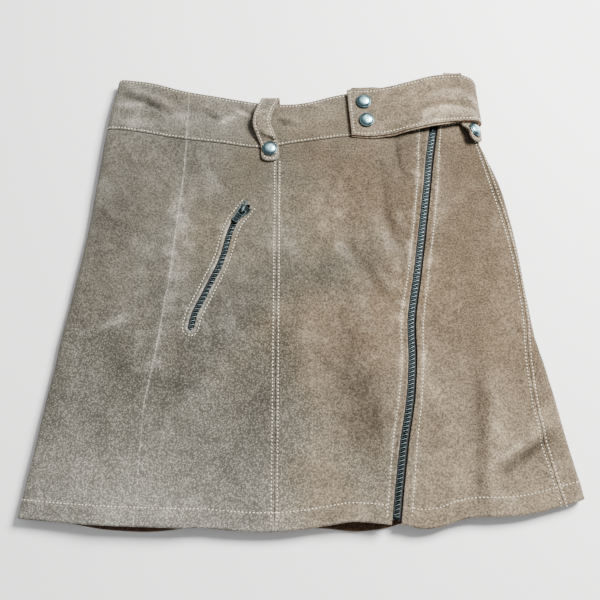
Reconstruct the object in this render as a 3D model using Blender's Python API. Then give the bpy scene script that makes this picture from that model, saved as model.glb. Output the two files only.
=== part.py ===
"""Suede mini skirt with a slanted front zip, laid flat on its back with every fastening shut.

Blender 4.5: run it with blender --background --python part.py, or from the text editor.

The cloth is a flattened tube of panels under a waistband. X runs across the garment, Y from the hem
to the waist and Z up from the surface that it lies on. The origin is under the middle of the outline.
Sizes are in millimetres until a mesh is made, which is in metres.
"""

import bpy
import numpy as np

MILLIMETRE = 0.001

# Cloth
SUEDE = 1.4  # thickness of one layer
BAND_LAYERS = 2.6  # the waistband is folded double
HEM_LAYERS = 2.8  # the hem is turned up once
HEM_TURN = 16.0  # how far up the turned layer reaches
EDGE_ROUND = 1.0  # length of the rounded nose on a folded edge
EDGE_PINCH = 0.3  # share of the thickness that the nose loses on each face
SEAM_GAP = 0.3  # between two pieces that are sewn together
CENTRE_SEAM_X = -21.6
SIDE_SEAM_UNDER = 16.0  # left side seam, round on the back, from the left fold

# Slanted front zip
ZIP_EDGE_LEFT = 4.2  # from the middle of the chain to the suede's edge on each side
ZIP_EDGE_RIGHT = 5.2
TAPE_HALF_WIDTH = 13.4
TAPE_THICKNESS = 0.8
TAPE_GAP = 0.9  # behind the suede, which bends more sharply than the tape
TAPE_PAST_CHAIN = (6.0, 4.0)  # beyond the top and the foot of the chain
CHAIN_WIDTH = 6.0
CHAIN_THICKNESS = 2.4
CHAIN_BEVEL = 0.6
CHAIN_SUNK = 0.9  # top of the teeth below the suede's face
CHAIN_TOP_Y = 181.0
CHAIN_FOOT_Y = -190.0
SLIDER_Y = 186.5
PULL_LENGTH = 19.0
PULL_HALF_WIDTH = 2.8

# Pocket zip
SLOT_WIDTH = 7.6
SLOT_TOP_Y = 71.5
SLOT_FOOT_Y = -42.0
POCKET_TAPE_HALF_WIDTH = 11.0
POCKET_TAPE_PAST_SLOT = 3.0
POCKET_CHAIN_WIDTH = 4.6
POCKET_CHAIN_TOP_Y = 61.0
POCKET_CHAIN_FOOT_Y = -41.0
POCKET_SLIDER_Y = 65.9
POCKET_SLIDER_RISE = 0.4  # its upper plate is wider than the slot, and clears the suede
POCKET_PULL_LENGTH = 13.2
POCKET_PULL_HALF_WIDTH = 3.0

# Belt tab, of two layers, and the rise of the back over its sewn end
TAB_LAYER = 1.4
TAB_PACK = 2 * TAB_LAYER + SEAM_GAP
TAB_SEWN_END = 233.0  # run at which the tab is sewn to the back of the band
TAB_END_SLANT = 3.6  # how much further in the lower corner of its free end is
TAB_SLANT_FADE = 40.0  # length over which its columns turn from that slant to straight across
TAB_UNDER_SHOWS = 3.0  # how far the under layer's corner stands out above the face's
TAB_SHOWS_FROM = (42.0, 46.0)  # runs between which that corner begins and ends
TAB_SHOWS_TO = (62.0, 78.0)
TAB_UNDER_STEP = 1.2  # how far the under layer stands out below the face's lower edge
TAB_STEP_TO = (128.0, 146.0)
BACK_RISE = 1.1 * TAB_PACK
BACK_RISE_X = (64.0, 94.0)
BACK_RISE_Y = (104.0, 148.0)

# Belt loops and snap caps
LOOP_THICKNESS = 2.0
LOOP_WIDTH = 15.6
SNAP_TAB_UPPER = (56.0, 171.2)
SNAP_TAB_LOWER = (58.4, 152.4)
SNAP_FROM_TIP = 10.6  # from a loop's tip to the middle of its snap
SNAP_RADIUS = 6.8
SNAP_SIDES = 16


class Table:
    """Rows of numbers under named columns, read between the rows on a smooth curve."""

    def __init__(self, columns, rows):
        self.names = columns.split()
        self.rows = np.array(sorted(rows), float)

    def column(self, name):
        return self.rows[:, self.names.index(name)]

    def read(self, name, at):
        """Value of a column where the first column is `at`: a cubic through the rows, level past the ends."""
        knots, values = self.rows[:, 0], self.column(name)
        slopes = np.gradient(values, knots)
        at = np.clip(at, knots[0], knots[-1])
        cell = np.clip(np.searchsorted(knots, at) - 1, 0, len(knots) - 2)
        width = knots[cell + 1] - knots[cell]
        s = (at - knots[cell]) / width
        return (
            values[cell] * (1 + 2 * s) * (1 - s) ** 2
            + slopes[cell] * width * s * (1 - s) ** 2
            + values[cell + 1] * s**2 * (3 - 2 * s)
            - slopes[cell + 1] * width * s**2 * (1 - s)
        )


# Side folds of the tube as it lies, by height up the garment.
OUTLINE = Table(
    "y left right",
    [
        (204, -167.6, 154.0),
        (178, -171.7, 155.5),
        (152, -175.6, 156.8),
        (137, -177.2, 158.5),
        (117, -179.2, 166.0),
        (96, -181.0, 174.1),
        (56, -185.0, 182.8),
        (-14, -195.0, 191.1),
        (-46, -200.6, 194.8),
        (-63, -202.9, 198.8),
        (-106, -209.2, 207.9),
        (-178, -219.6, 221.7),
        (-193, -221.7, 224.0),
    ],
)

# Height of the folds, and how much higher the front lies between them.
LOFT = Table(
    "y side crown",
    [
        (204, 13.0, 1.0),
        (150, 12.6, 1.0),
        (90, 11.4, 1.6),
        (0, 10.6, 2.4),
        (-120, 10.6, 2.4),
        (-204, 11.0, 1.6),
    ],
)

# Waist edge and the seam under the band, by share of the garment's width from the left fold.
BAND_LINES = Table(
    "share waist seam",
    [
        (0.0, 197.5, 146.0),
        (0.03, 196.4, 145.4),
        (0.09, 193.8, 142.9),
        (0.2, 184.2, 136.1),
        (0.314, 177.2, 131.4),
        (0.41, 172.0, 126.4),
        (0.512, 171.2, 131.4),
        (0.64, 181.2, 137.4),
        (0.795, 187.0, 140.6),
        (0.91, 192.0, 147.0),
        (0.965, 193.2, 150.6),
        (1.0, 191.0, 152.0),
    ],
)

# Hem of the front and of the back layer under it.
HEM_LINES = Table(
    "share front back",
    [
        (0.0, -192.3, -192.3),
        (0.05, -194.4, -193.6),
        (0.104, -196.3, -196.8),
        (0.143, -197.4, -199.8),
        (0.183, -198.2, -201.3),
        (0.225, -198.8, -202.0),
        (0.258, -199.3, -201.2),
        (0.288, -199.8, -199.6),
        (0.322, -199.6, -198.2),
        (0.375, -201.5, -200.0),
        (0.444, -202.6, -201.0),
        (0.497, -200.8, -199.4),
        (0.54, -197.8, -199.6),
        (0.588, -194.9, -201.7),
        (0.632, -196.2, -200.2),
        (0.655, -197.2, -198.0),
        (0.675, -197.0, -195.4),
        (0.705, -200.0, -198.4),
        (0.74, -198.5, -197.0),
        (0.767, -194.3, -192.8),
        (0.802, -191.2, -189.8),
        (0.846, -191.1, -189.6),
        (0.9, -188.8, -187.3),
        (0.95, -183.6, -182.4),
        (1.0, -178.0, -178.0),
    ],
)

# Seams of the front: between the two left panels, the zip's middle, and the right side seam.
SEAMS = Table(
    "y left_seam zip side_seam",
    [
        (204, -102.0, 125.0, 153.0),
        (140, -102.6, 117.0, 156.0),
        (122, -103.0, 114.0, 160.3),
        (84, -104.8, 108.9, 169.9),
        (46, -107.9, 103.4, 178.8),
        (2, -111.6, 96.6, 185.2),
        (-33, -116.0, 91.0, 187.3),
        (-66, -120.6, 90.4, 186.6),
        (-100, -126.6, 87.2, 188.6),
        (-134, -127.8, 81.1, 193.6),
        (-170, -128.2, 75.9, 201.0),
        (-204, -129.2, 71.4, 209.5),
    ],
)

# Middle line of the pocket zip.
POCKET_LINE = Table(
    "y x",
    [
        (80, -40.5),
        (72, -46.2),
        (66, -50.7),
        (55, -58.4),
        (48, -61.3),
        (34, -65.0),
        (26, -66.9),
        (18, -69.4),
        (8, -73.6),
        (-2, -78.3),
        (-12, -82.7),
        (-20, -86.5),
        (-28, -90.0),
        (-36, -91.8),
        (-46, -93.5),
    ],
)

# The cloth's largest folds: a soft ridge or trough along a line, its rise and its half width.
FOLDS = Table(
    "x0 y0 x1 y1 rise width",
    [
        (-157, 188, -101, 165, -1.6, 8),
        (-161, 175, -138, 177, 1.2, 7),
        (-137, 165, -119, 155, -1.2, 7),
        (84, 134, 87, 105, -2.8, 8),
        (73, 95, 80, 48, -2.0, 9),
        (91, 110, 104, 95, 1.5, 8),
        (68, 76, 69, 29, 1.6, 10),
        (37, 48, 74, -15, -1.8, 10),
        (-108, 76, -110, -15, 2.0, 12),
        (-110, -15, -120, -75, 2.0, 12),
        (-119, -88, -82, -92, -1.6, 10),
        (-187, -50, -143, -33, 1.2, 10),
        (145, -84, 137, -178, -2.0, 10),
        (155, -84, 147, -178, 1.8, 11),
        (160, -156, 197, -132, -1.8, 10),
        (160, -146, 194, -118, 1.8, 10),
        (-152, -197, -108, -199, 3.6, 26),
        (36, -197, 60, -197, 3.4, 15),
    ],
)

# The belt tab's two long edges, by run: x along the front, then on round the right fold and under.
TAB_EDGES = Table(
    "run top low",
    [
        (41, 183.4, 138.0),
        (66, 184.6, 136.8),
        (89, 187.8, 140.6),
        (126, 196.4, 148.0),
        (144, 197.2, 150.4),
        (153, 194.4, 150.9),
        (166, 190.6, 150.9),
        (182, 189.4, 151.6),
        (236, 189.0, 151.6),
    ],
)

# How far the tab's underside stands off the band, by x along the front, and the tab's right fold.
TAB_LIFT = Table(
    "x lift",
    [
        (40, 0.35),
        (66, 0.35),
        (80, 1.8),
        (98, 4.6),
        (122, 5.2),
        (138, 4.4),
        (150, 4.0),
        (165, 4.0),
    ],
)
TAB_FOLD = Table("y right", [(200, 158.6), (178, 160.4), (152, 162.6), (130, 163.0)])

# Middle of each belt loop, from its sewn end inside the band, over the edge, down to its tip.
# tilt turns the strip about its length in degrees, bend curls its sides down, in 1/mm.
LOOP_FRONT = Table(
    "step x y z tilt bend",
    [
        (0, -27.5, 163.0, 9.9, 0, 0),
        (1, -27.5, 169.5, 9.9, 0, 0),
        (2, -27.6, 174.0, 11.6, 0, 0),
        (3, -28.0, 175.0, 14.6, 0, 0),
        (4, -29.5, 171.0, 17.8, 0, 0.01),
        (5, -33.5, 160.0, 21.4, -4, 0.015),
        (6, -36.0, 149.0, 22.0, -6, 0.015),
        (7, -33.0, 139.0, 18.6, -4, 0.01),
        (8, -29.5, 131.5, 15.2, 0, 0),
        (9, -28.3, 124.5, 14.8, 0, 0),
        (10, -28.2, 113.0, 14.8, 0, 0),
    ],
)
LOOP_SIDE = Table(
    "step x y z tilt bend",
    [
        (0, 137.0, 183.0, 8.9, 0, 0),
        (1, 137.0, 192.5, 8.9, 0, 0),
        (2, 137.3, 199.3, 10.6, 0, 0),
        (3, 137.8, 201.4, 13.4, 0, 0),
        (4, 138.5, 199.3, 15.5, 0, 0),
        (5, 140.0, 192.0, 15.1, 0, 0),
        (6, 142.3, 180.0, 14.9, 0, 0.002),
        (7, 145.0, 168.0, 14.9, 1, 0.006),
        (8, 147.6, 158.5, 15.0, 5, 0.014),
        (9, 150.3, 151.5, 15.0, 10, 0.018),
        (10, 153.2, 145.8, 15.2, 29, 0.006),
        (11, 154.8, 141.0, 15.2, 38, 0),
        (12, 155.6, 131.8, 15.6, 39, 0),
    ],
)

# Half width of the slider's plates, by place along it, and its heights over the suede's face.
SLIDER_PLAN = Table("along plate", [(-4.6, 2.6), (-3.2, 3.3), (2.6, 3.4), (4.6, 2.9)])
POCKET_SLIDER_PLAN = Table("along plate", [(-4.6, 3.2), (-3.2, 3.6), (2.6, 4.8), (4.6, 4.6)])
SLIDER_TOP = 0.7
SLIDER_BOTTOM = -4.4
SLIDER_PLATE = 1.0
SLIDER_CORE = 1.4
BRIDGE_HALF_LENGTH = 3.2
BRIDGE_HALF_WIDTH = 1.0
BRIDGE_TOP = 3.4
BRIDGE_BAR = 1.0
BRIDGE_SUNK = 0.3

# Pull tab: its eye is a bar under the bridge, then a window, then a plate with cut corners.
PULL_THICKNESS = 1.0
PULL_AXIS = 1.6  # height of the eye over the suede's face
PULL_EYE = 0.5
PULL_WINDOW_END = 4.8
PULL_RIM = 1.0
PULL_CORNER = Table("back in_from_side", [(0.0, 1.4), (0.4, 0.6), (1.6, 0.0)])

# Half section of a snap cap: a foot, a low rim, a groove and a dome.
SNAP_PROFILE = Table(
    "step radius height",
    [
        (0, 0.972, 0.0),
        (1, 1.0, 0.5),
        (2, 0.958, 1.0),
        (3, 0.873, 1.2),
        (4, 0.789, 1.8),
        (5, 0.592, 2.5),
        (6, 0.338, 2.9),
        (7, 0.113, 3.05),
    ],
)

# Name, colour, roughness and metallic value of each finish.
FINISHES = {
    "suede": ((0.28, 0.225, 0.185), 0.95, 0.0),
    "tape": ((0.02, 0.02, 0.022), 0.85, 0.0),
    "zip_metal": ((0.1, 0.13, 0.14), 0.38, 1.0),
    "snap_metal": ((0.36, 0.43, 0.48), 0.3, 1.0),
}

UP = np.array([0.0, 0.0, 1.0])


def smooth_step(value):
    value = np.clip(value, 0.0, 1.0)
    return value * value * (3 - 2 * value)


def ramp(value, ends):
    """0 before the first end, 1 after the second, and a smooth rise between them."""
    return smooth_step((value - ends[0]) / (ends[1] - ends[0]))


# ---------------------------------------------------------------- the form of the cloth


class Tube:
    """A flattened tube: a front, an underside, and a round fold at each side."""

    EDGE_BLEND = 20.0  # folds and creases fade out this close to the side folds

    def left(self, y):
        return OUTLINE.read("left", y)

    def right(self, y):
        return OUTLINE.read("right", y)

    def side(self, y):
        return LOFT.read("side", y)

    def under(self, x, y):
        """The back layer lies on the surface, and rises over the belt tab's sewn end."""
        return BACK_RISE * ramp(x, BACK_RISE_X) * ramp(y, BACK_RISE_Y)

    def folds(self, y):
        """Ends of the flat stretch between the side folds, and the radius of each fold."""
        left, right, side = self.left(y), self.right(y), self.side(y)
        radius_left = (side - self.under(left, y)) / 2
        radius_right = (side - self.under(right, y)) / 2
        return left + radius_left, right - radius_right, radius_left, radius_right

    def top(self, x, y):
        """Height of the front's outer face: the side folds' height, a crown between them, and the creases."""
        start, end, _, _ = self.folds(y)
        share = np.clip((x - start) / (end - start), 0.0, 1.0)
        crown = LOFT.read("crown", y) * (1 - np.abs(2 * share - 1) ** 4)
        relief = np.zeros(np.broadcast(x, y).shape)
        for x0, y0, x1, y1, rise, width in FOLDS.rows:
            length = np.hypot(x1 - x0, y1 - y0)
            east, north = (x1 - x0) / length, (y1 - y0) / length
            along = np.clip((x - x0) * east + (y - y0) * north, 0.0, length)
            away = np.hypot(x - x0 - along * east, y - y0 - along * north)
            relief = relief + rise * np.exp(-((away / width) ** 2))
        inside = smooth_step(np.minimum(x - start, end - x) / self.EDGE_BLEND)
        return self.side(y) + crown + relief * inside

    def skin(self, lap, y):
        """Point and outward direction on the outer face.

        lap goes once round the tube in 4: 0 to 1 across the front from the left fold, 1 to 2 round the
        right fold, 2 to 3 back along the underside and 3 to 4, or -1 to 0, round the left fold.
        """
        start, end, radius_left, radius_right = self.folds(y)
        lap = np.mod(lap + 1, 4) - 1
        flat = start + (end - start) * (np.clip(lap, 0, 1) - np.clip(lap - 2, 0, 1))
        turn_right = np.pi * np.clip(lap - 1, 0, 1)
        turn_left = np.pi * np.clip(-lap, 0, 1)
        level = np.cos(turn_right + turn_left)
        top, under = self.top(flat, y), self.under(flat, y)
        x = flat + radius_right * np.sin(turn_right) - radius_left * np.sin(turn_left)
        z = (top + under) / 2 + (top - under) / 2 * level
        point = np.stack([x, y + 0 * x, z], axis=-1)
        outward = np.stack([np.sin(turn_right) - np.sin(turn_left), 0 * x, level], axis=-1)
        return point, outward

    def lap_of(self, x, y):
        """Where the front, or the upper half of the right fold, is at x."""
        start, end, _, radius = self.folds(y)
        round_fold = 1 + np.arcsin(np.clip((x - end) / radius, 0, 1)) / np.pi
        return np.where(x > end, round_fold, (x - start) / (end - start))

    def lap_of_back(self, x, y):
        """Where the underside is at x, counted from the left fold."""
        start, end, _, _ = self.folds(y)
        return -1 - (x - start) / (end - start)


class TabTube(Tube):
    """The form that the belt tab follows: over the band's front, round the right fold and under."""

    def right(self, y):
        return TAB_FOLD.read("right", y)

    def side(self, y):
        return LOFT.read("side", y) + TAB_LIFT.column("lift")[-1] + TAB_PACK

    def under(self, x, y):
        return 0.0 * (x + y)

    def top(self, x, y):
        return Tube.top(GARMENT, x, y) + TAB_LIFT.read("lift", x) + TAB_PACK

    def lap_of_run(self, run, y):
        """Where the tab is after `run`: x on the front, and from the fold on the length along it."""
        start, end, _, radius = self.folds(y)
        arc = np.pi * radius
        front = (run - start) / (end - start)
        fold = 1 + (run - end) / arc
        back = 2 + (run - end - arc) / (end - start)
        return np.where(run < end, front, np.where(run < end + arc, fold, back))


GARMENT = Tube()
TAB = TabTube()


def waist_line(share, lap):
    return BAND_LINES.read("waist", share)


def band_seam_line(share, lap):
    return BAND_LINES.read("seam", share)


def hem_line(share, lap):
    """The front's hem, the back's hem, and a smooth change between them round each side fold."""
    lap = np.mod(lap + 1, 4) - 1
    back = smooth_step(np.maximum(lap - 1, -lap))
    return HEM_LINES.read("front", share) * (1 - back) + HEM_LINES.read("back", share) * back


def chart(stops, counts, rows, upper, lower):
    """Laps and heights of a grid on the garment.

    Its columns split each stretch between neighbouring stops evenly, and each of its rows lies at a
    share of the way from the upper line to the lower one, moved up by a shift. A height depends on the
    place across, and that on the height, so both are found by a few rounds of substitution.
    """
    stretch = np.repeat(np.arange(len(counts)), counts)
    share_in = np.concatenate([np.arange(count) / count for count in counts] + [[1.0]])
    stretch = np.append(stretch, len(counts) - 1)
    columns = np.arange(len(stretch))
    share_down = np.array([row[0] for row in rows])[:, None]
    shift = np.array([row[1] for row in rows])[:, None]
    y = np.zeros((len(rows), len(stretch)))
    for _ in range(8):
        marks = np.stack([np.broadcast_to(stop(y), y.shape) for stop in stops])
        first, last = marks[stretch, :, columns].T, marks[stretch + 1, :, columns].T
        lap = first + (last - first) * share_in
        x = GARMENT.skin(lap, y)[0][..., 0]
        left, right = GARMENT.left(y), GARMENT.right(y)
        across = np.clip((x - left) / (right - left), 0.0, 1.0)
        y = upper(across, lap) * (1 - share_down) + lower(across, lap) * share_down + shift
    return lap, y


# ---------------------------------------------------------------- making objects


def material_of(name):
    """The material of this name, made once."""
    material = bpy.data.materials.get(name)
    if material is None:
        colour, roughness, metallic = FINISHES[name]
        material = bpy.data.materials.new(name)
        material.use_nodes = True
        shader = material.node_tree.nodes["Principled BSDF"]
        shader.inputs["Base Color"].default_value = (*colour, 1.0)
        shader.inputs["Roughness"].default_value = roughness
        shader.inputs["Metallic"].default_value = metallic
    return material


def add_object(name, points, faces, material, origin=(0.0, 0.0, 0.0)):
    """One mesh object from points in millimetres, with its own origin."""
    origin = np.asarray(origin, float)
    mesh = bpy.data.meshes.new(name)
    mesh.from_pydata(((np.asarray(points) - origin) * MILLIMETRE).tolist(), [], faces)
    mesh.materials.append(material_of(material))
    mesh.shade_smooth()
    mesh.set_sharp_from_angle(angle=np.radians(40))
    made = bpy.data.objects.new(name, mesh)
    made.location = origin * MILLIMETRE
    bpy.context.scene.collection.objects.link(made)
    return made


def wall_faces(rows, columns):
    """Faces of a closed wall: an outer grid, the inner grid after it, and a rim round both.

    Both grids are split along the same diagonals, so that walls one behind the other stay clear.
    """
    number = np.arange(rows * columns).reshape(rows, columns)
    inner = number + rows * columns

    def quads(a, b, c, d):
        return np.stack([a, b, c, d], axis=-1).reshape(-1, 4)

    def sheet(n):
        return quads(n[:-1, :-1], n[1:, :-1], n[1:, 1:], n[:-1, 1:])

    def strip(outer_line, inner_line):
        return quads(outer_line[:-1], outer_line[1:], inner_line[1:], inner_line[:-1])

    return np.concatenate(
        [
            sheet(number),
            sheet(inner)[:, [0, 3, 2, 1]],
            strip(number[0], inner[0]),
            strip(number[-1][::-1], inner[-1][::-1]),
            strip(number[::-1, 0], inner[::-1, 0]),
            strip(number[:, -1], inner[:, -1]),
        ]
    ).tolist()


def add_wall(name, outer, inner, material="suede"):
    """A closed wall between an outer and an inner grid of points."""
    rows, columns = outer.shape[:2]
    points = np.concatenate([outer.reshape(-1, 3), inner.reshape(-1, 3)])
    return add_object(name, points, wall_faces(rows, columns), material)


def add_loft(name, rings, material, origin=(0.0, 0.0, 0.0)):
    """A closed solid through rings of points, capped at both ends.

    The rings go round to the left as seen from ahead, looking back along the loft.
    """
    count, size = rings.shape[:2]
    number = np.arange(count * size).reshape(count, size)
    following = np.roll(number, -1, axis=1)
    sides = np.stack([number[:-1], following[:-1], following[1:], number[1:]], axis=-1)
    faces = sides.reshape(-1, 4).tolist() + [number[0][::-1].tolist(), number[-1].tolist()]
    return add_object(name, rings.reshape(-1, 3), faces, material, origin)


def combine(target, helper, operation):
    """Boolean of a helper that isn't part of the model."""
    helper.hide_render = True
    helper.display_type = "WIRE"
    modifier = target.modifiers.new(operation.title(), "BOOLEAN")
    modifier.operation = operation
    modifier.solver = "EXACT"
    modifier.object = helper


# ---------------------------------------------------------------- panels and waistband

HALF_GAP = SEAM_GAP / 2
TAPE_CLEAR = TAPE_HALF_WIDTH + SEAM_GAP  # no second layer closer to the zip than this


def zip_x(y):
    return SEAMS.read("zip", y)


def at_x(x):
    """A stop at this x on the front."""
    return lambda y: GARMENT.lap_of(x + 0 * y, y)


def beside_zip(distance):
    """A stop at this distance from the middle of the slanted zip."""
    return lambda y: GARMENT.lap_of(zip_x(y) + distance, y)


def seam(name, gap):
    """A stop on a seam of the front, moved off it by its share of the gap."""
    return lambda y: GARMENT.lap_of(SEAMS.read(name, y) + gap, y)


def before_fold(stop, step):
    """A stop a little ahead of the one given, and never round the fold."""
    return lambda y: np.minimum(stop(y), 1.0) - step


def left_side_seam(gap):
    """The left side seam, on the underside."""
    return lambda y: GARMENT.lap_of_back(GARMENT.left(y) + SIDE_SEAM_UNDER + gap, y)


def later_lap(stop):
    """The same place, reached by going once round the tube."""
    return lambda y: 4 + stop(y)


def turn(lap):
    return lambda y: lap + 0 * y


# Each strip of cloth round the tube: its stops from left to right, and the columns between them.
LEFT_SIDE = (
    [left_side_seam(-HALF_GAP), turn(-1.0), turn(0.0), seam("left_seam", -HALF_GAP)],
    (1, 6, 7),
)
CENTRE_LEFT = (
    [seam("left_seam", HALF_GAP), at_x(CENTRE_SEAM_X - HALF_GAP)],
    (8,),
)
CENTRE_RIGHT = (
    [
        at_x(CENTRE_SEAM_X + HALF_GAP),
        beside_zip(-TAPE_CLEAR - SEAM_GAP),
        beside_zip(-TAPE_CLEAR),
        beside_zip(-ZIP_EDGE_LEFT),
    ],
    (8, 1, 1),
)
BAND_CENTRE = (
    [seam("left_seam", HALF_GAP)] + CENTRE_RIGHT[0][1:],
    (18, 1, 1),
)
RIGHT_SIDE = (
    [
        beside_zip(ZIP_EDGE_RIGHT),
        beside_zip(TAPE_CLEAR),
        beside_zip(TAPE_CLEAR + SEAM_GAP),
        before_fold(seam("side_seam", -HALF_GAP), 0.02),
        seam("side_seam", -HALF_GAP),
    ],
    (1, 1, 6, 2),
)
BACK = (
    [seam("side_seam", HALF_GAP), turn(2.0), later_lap(left_side_seam(HALF_GAP))],
    (6, 18),
)

PANELS = {
    "front_side_left": LEFT_SIDE,
    "front_centre_left": CENTRE_LEFT,
    "front_centre_right": CENTRE_RIGHT,
    "front_side_right": RIGHT_SIDE,
    "back_panel": BACK,
}
BAND_PIECES = {
    "band_side_left": LEFT_SIDE,
    "band_front": BAND_CENTRE,
    "band_side_right": RIGHT_SIDE,
    "band_back": BACK,
}
PANEL_ROWS = 20
BAND_ROWS = 4
TURN_STEP = 0.1  # half the length over which the hem's second layer begins

# Rows of a panel and of the band: share of the way down, shift up, and thickness there.
PANEL_GRID = [(i / PANEL_ROWS, -HALF_GAP * (i == 0), SUEDE) for i in range(PANEL_ROWS)] + [
    (1.0, HEM_TURN + TURN_STEP, SUEDE),
    (1.0, HEM_TURN - TURN_STEP, HEM_LAYERS),
    (1.0, EDGE_ROUND, HEM_LAYERS),
    (1.0, 0.0, HEM_LAYERS),
]
BAND_GRID = [(0.0, 0.0, BAND_LAYERS), (0.0, -EDGE_ROUND, BAND_LAYERS)] + [
    (i / BAND_ROWS, HALF_GAP * (i == BAND_ROWS), BAND_LAYERS) for i in range(1, BAND_ROWS + 1)
]


def cloth_piece(name, strip, grid, upper, lower, folded_row):
    """One piece of the tube: its outer face lies on the form, and its thickness goes inwards.

    It has one layer beside the slanted zip, whose tape lies behind it, and a rounded nose on the edge
    that is folded.
    """
    stops, counts = strip
    lap, y = chart(stops, counts, grid, upper, lower)
    face, outward = GARMENT.skin(lap, y)
    thickness = np.array([row[2] for row in grid])[:, None] + 0 * lap
    on_front = (lap > 0) & (lap < 1)
    at_zip = on_front & (np.abs(face[..., 0] - zip_x(y)) < TAPE_CLEAR + HALF_GAP)
    thickness = np.where(at_zip, SUEDE, thickness)
    pinched = np.zeros_like(thickness)
    pinched[folded_row] = EDGE_PINCH * thickness[folded_row]
    outer = face - outward * pinched[..., None]
    inner = face - outward * (thickness - pinched)[..., None]
    return add_wall(name, outer, inner)


def add_cloth():
    panels = {
        name: cloth_piece(name, strip, PANEL_GRID, band_seam_line, hem_line, -1)
        for name, strip in PANELS.items()
    }
    for name, strip in BAND_PIECES.items():
        cloth_piece(name, strip, BAND_GRID, waist_line, band_seam_line, 0)
    return panels


# ---------------------------------------------------------------- zips


class ZipLine:
    """A zip's middle line up the garment's front."""

    def __init__(self, x_of_y, section_length):
        self.x_of_y = x_of_y
        self.section_length = section_length

    def slope(self, y):
        return self.x_of_y(y + 0.5) - self.x_of_y(y - 0.5)

    def points(self, y, aside):
        """Points at a distance to the right of the line, on the cloth's outer face."""
        slope = self.slope(y)
        length = np.hypot(1.0, slope)
        x, y = self.x_of_y(y) + aside / length, y - aside * slope / length
        return np.stack([x, y, GARMENT.top(x, y)], axis=-1)

    def frame(self, y):
        """A point of the line, and unit vectors up it, to its right and outwards."""
        slope = float(self.slope(y))
        up = np.array([slope, 1.0, 0.0]) / np.hypot(1.0, slope)
        return self.points(np.array(y), np.array(0.0)), np.stack([up, (up[1], -up[0], 0.0), UP])

    def sections(self, top_y, foot_y):
        """Heights of the sections that everything along this zip is cut into."""
        return np.linspace(top_y, foot_y, int((top_y - foot_y) / self.section_length) + 1)[:, None]


MAIN_ZIP = ZipLine(zip_x, 14.0)
POCKET_ZIP = ZipLine(lambda y: POCKET_LINE.read("x", y), 7.0)


def add_tape(name, line, top_y, foot_y, near, far):
    """A flat tape behind the suede, from `near` to `far` beside the chain."""
    y = line.sections(top_y, foot_y)
    aside = np.linspace(min(near, far), max(near, far), 3)[None, :]
    face = line.points(y + 0 * aside, aside + 0 * y) - UP * (SUEDE + TAPE_GAP)
    return add_wall(name, face, face - UP * TAPE_THICKNESS, "tape")


def add_chain(name, line, top_y, foot_y, width):
    """The closed teeth as one strip: an eight-sided section carried down the line."""
    half, thick = width / 2, CHAIN_THICKNESS / 2
    inset, low = half - CHAIN_BEVEL, thick - CHAIN_BEVEL
    aside = np.array([half, half, inset, -inset, -half, -half, -inset, inset])
    height = np.array([-low, low, thick, thick, low, -low, -thick, -thick])
    y = line.sections(top_y, foot_y)
    rings = line.points(y + 0 * aside, aside + 0 * y)
    rings[..., 2] = line.points(y, 0 * y)[..., 2] - CHAIN_SUNK - thick + height
    return add_loft(name, rings, "zip_metal")


def slider_section(plate, top):
    """Corners of the slider's section, two plates on a core: distance to the right, and height."""
    lower, upper = SLIDER_BOTTOM + SLIDER_PLATE, top - SLIDER_PLATE
    right = [
        (plate, SLIDER_BOTTOM),
        (plate, lower),
        (SLIDER_CORE, lower),
        (SLIDER_CORE, upper),
        (plate, upper),
        (plate, top),
    ]
    return right + [(-aside, height) for aside, height in reversed(right)]


def add_slider(name, line, y, plan, rise):
    """Two plates with a core between them, and a bridge on top for the pull."""
    origin, axes = line.frame(y)
    rings = np.array(
        [
            [(along, aside, height) for aside, height in slider_section(plate, SLIDER_TOP + rise)]
            for along, plate in plan.rows
        ]
    )
    body = add_loft(name, origin + rings @ axes, "zip_metal")
    reach, base, top = BRIDGE_HALF_LENGTH, SLIDER_TOP - BRIDGE_SUNK + rise, BRIDGE_TOP + rise
    clear, ceiling = reach - BRIDGE_BAR, top - BRIDGE_BAR
    staple = [
        (-reach, base),
        (-reach, top),
        (reach, top),
        (reach, base),
        (clear, base),
        (clear, ceiling),
        (-clear, ceiling),
        (-clear, base),
    ]
    rings = np.stack([np.insert(staple, 1, side, axis=1) for side in (-BRIDGE_HALF_WIDTH, BRIDGE_HALF_WIDTH)])
    combine(body, add_loft(name + "_bridge", origin + rings @ axes, "zip_metal"), "UNION")
    return body


def add_pull(name, line, y, length, half_width, rise=0.0):
    """A flat tab down the zip with a window at one end, whose end bar goes under the slider's bridge.

    Its origin is on the bar's middle line, about which it swings.
    """
    origin, axes = line.frame(y)
    pivot = origin + axes[2] * (PULL_AXIS + rise)
    corner = [(length - back, half_width - inwards) for back, inwards in PULL_CORNER.rows]
    outline = [(-PULL_EYE, half_width), (-PULL_EYE, -half_width)]
    outline += [(along, -aside) for along, aside in reversed(corner)] + corner
    side = half_width - PULL_RIM
    window = [(PULL_EYE, side), (PULL_EYE, -side), (PULL_WINDOW_END, -side), (PULL_WINDOW_END, side)]

    def plate(name, corners, half_height):
        """A prism of these corners, turned round to point down the zip."""
        corners = np.array(corners)[::-1] * (-1, 1)
        rings = np.stack([np.insert(corners, 2, height, axis=1) for height in (half_height, -half_height)])
        return add_loft(name, pivot + rings @ axes, "zip_metal", pivot)

    pull = plate(name, outline, PULL_THICKNESS / 2)
    combine(pull, plate(name + "_window", window, 2 * PULL_THICKNESS), "DIFFERENCE")
    return pull


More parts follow.
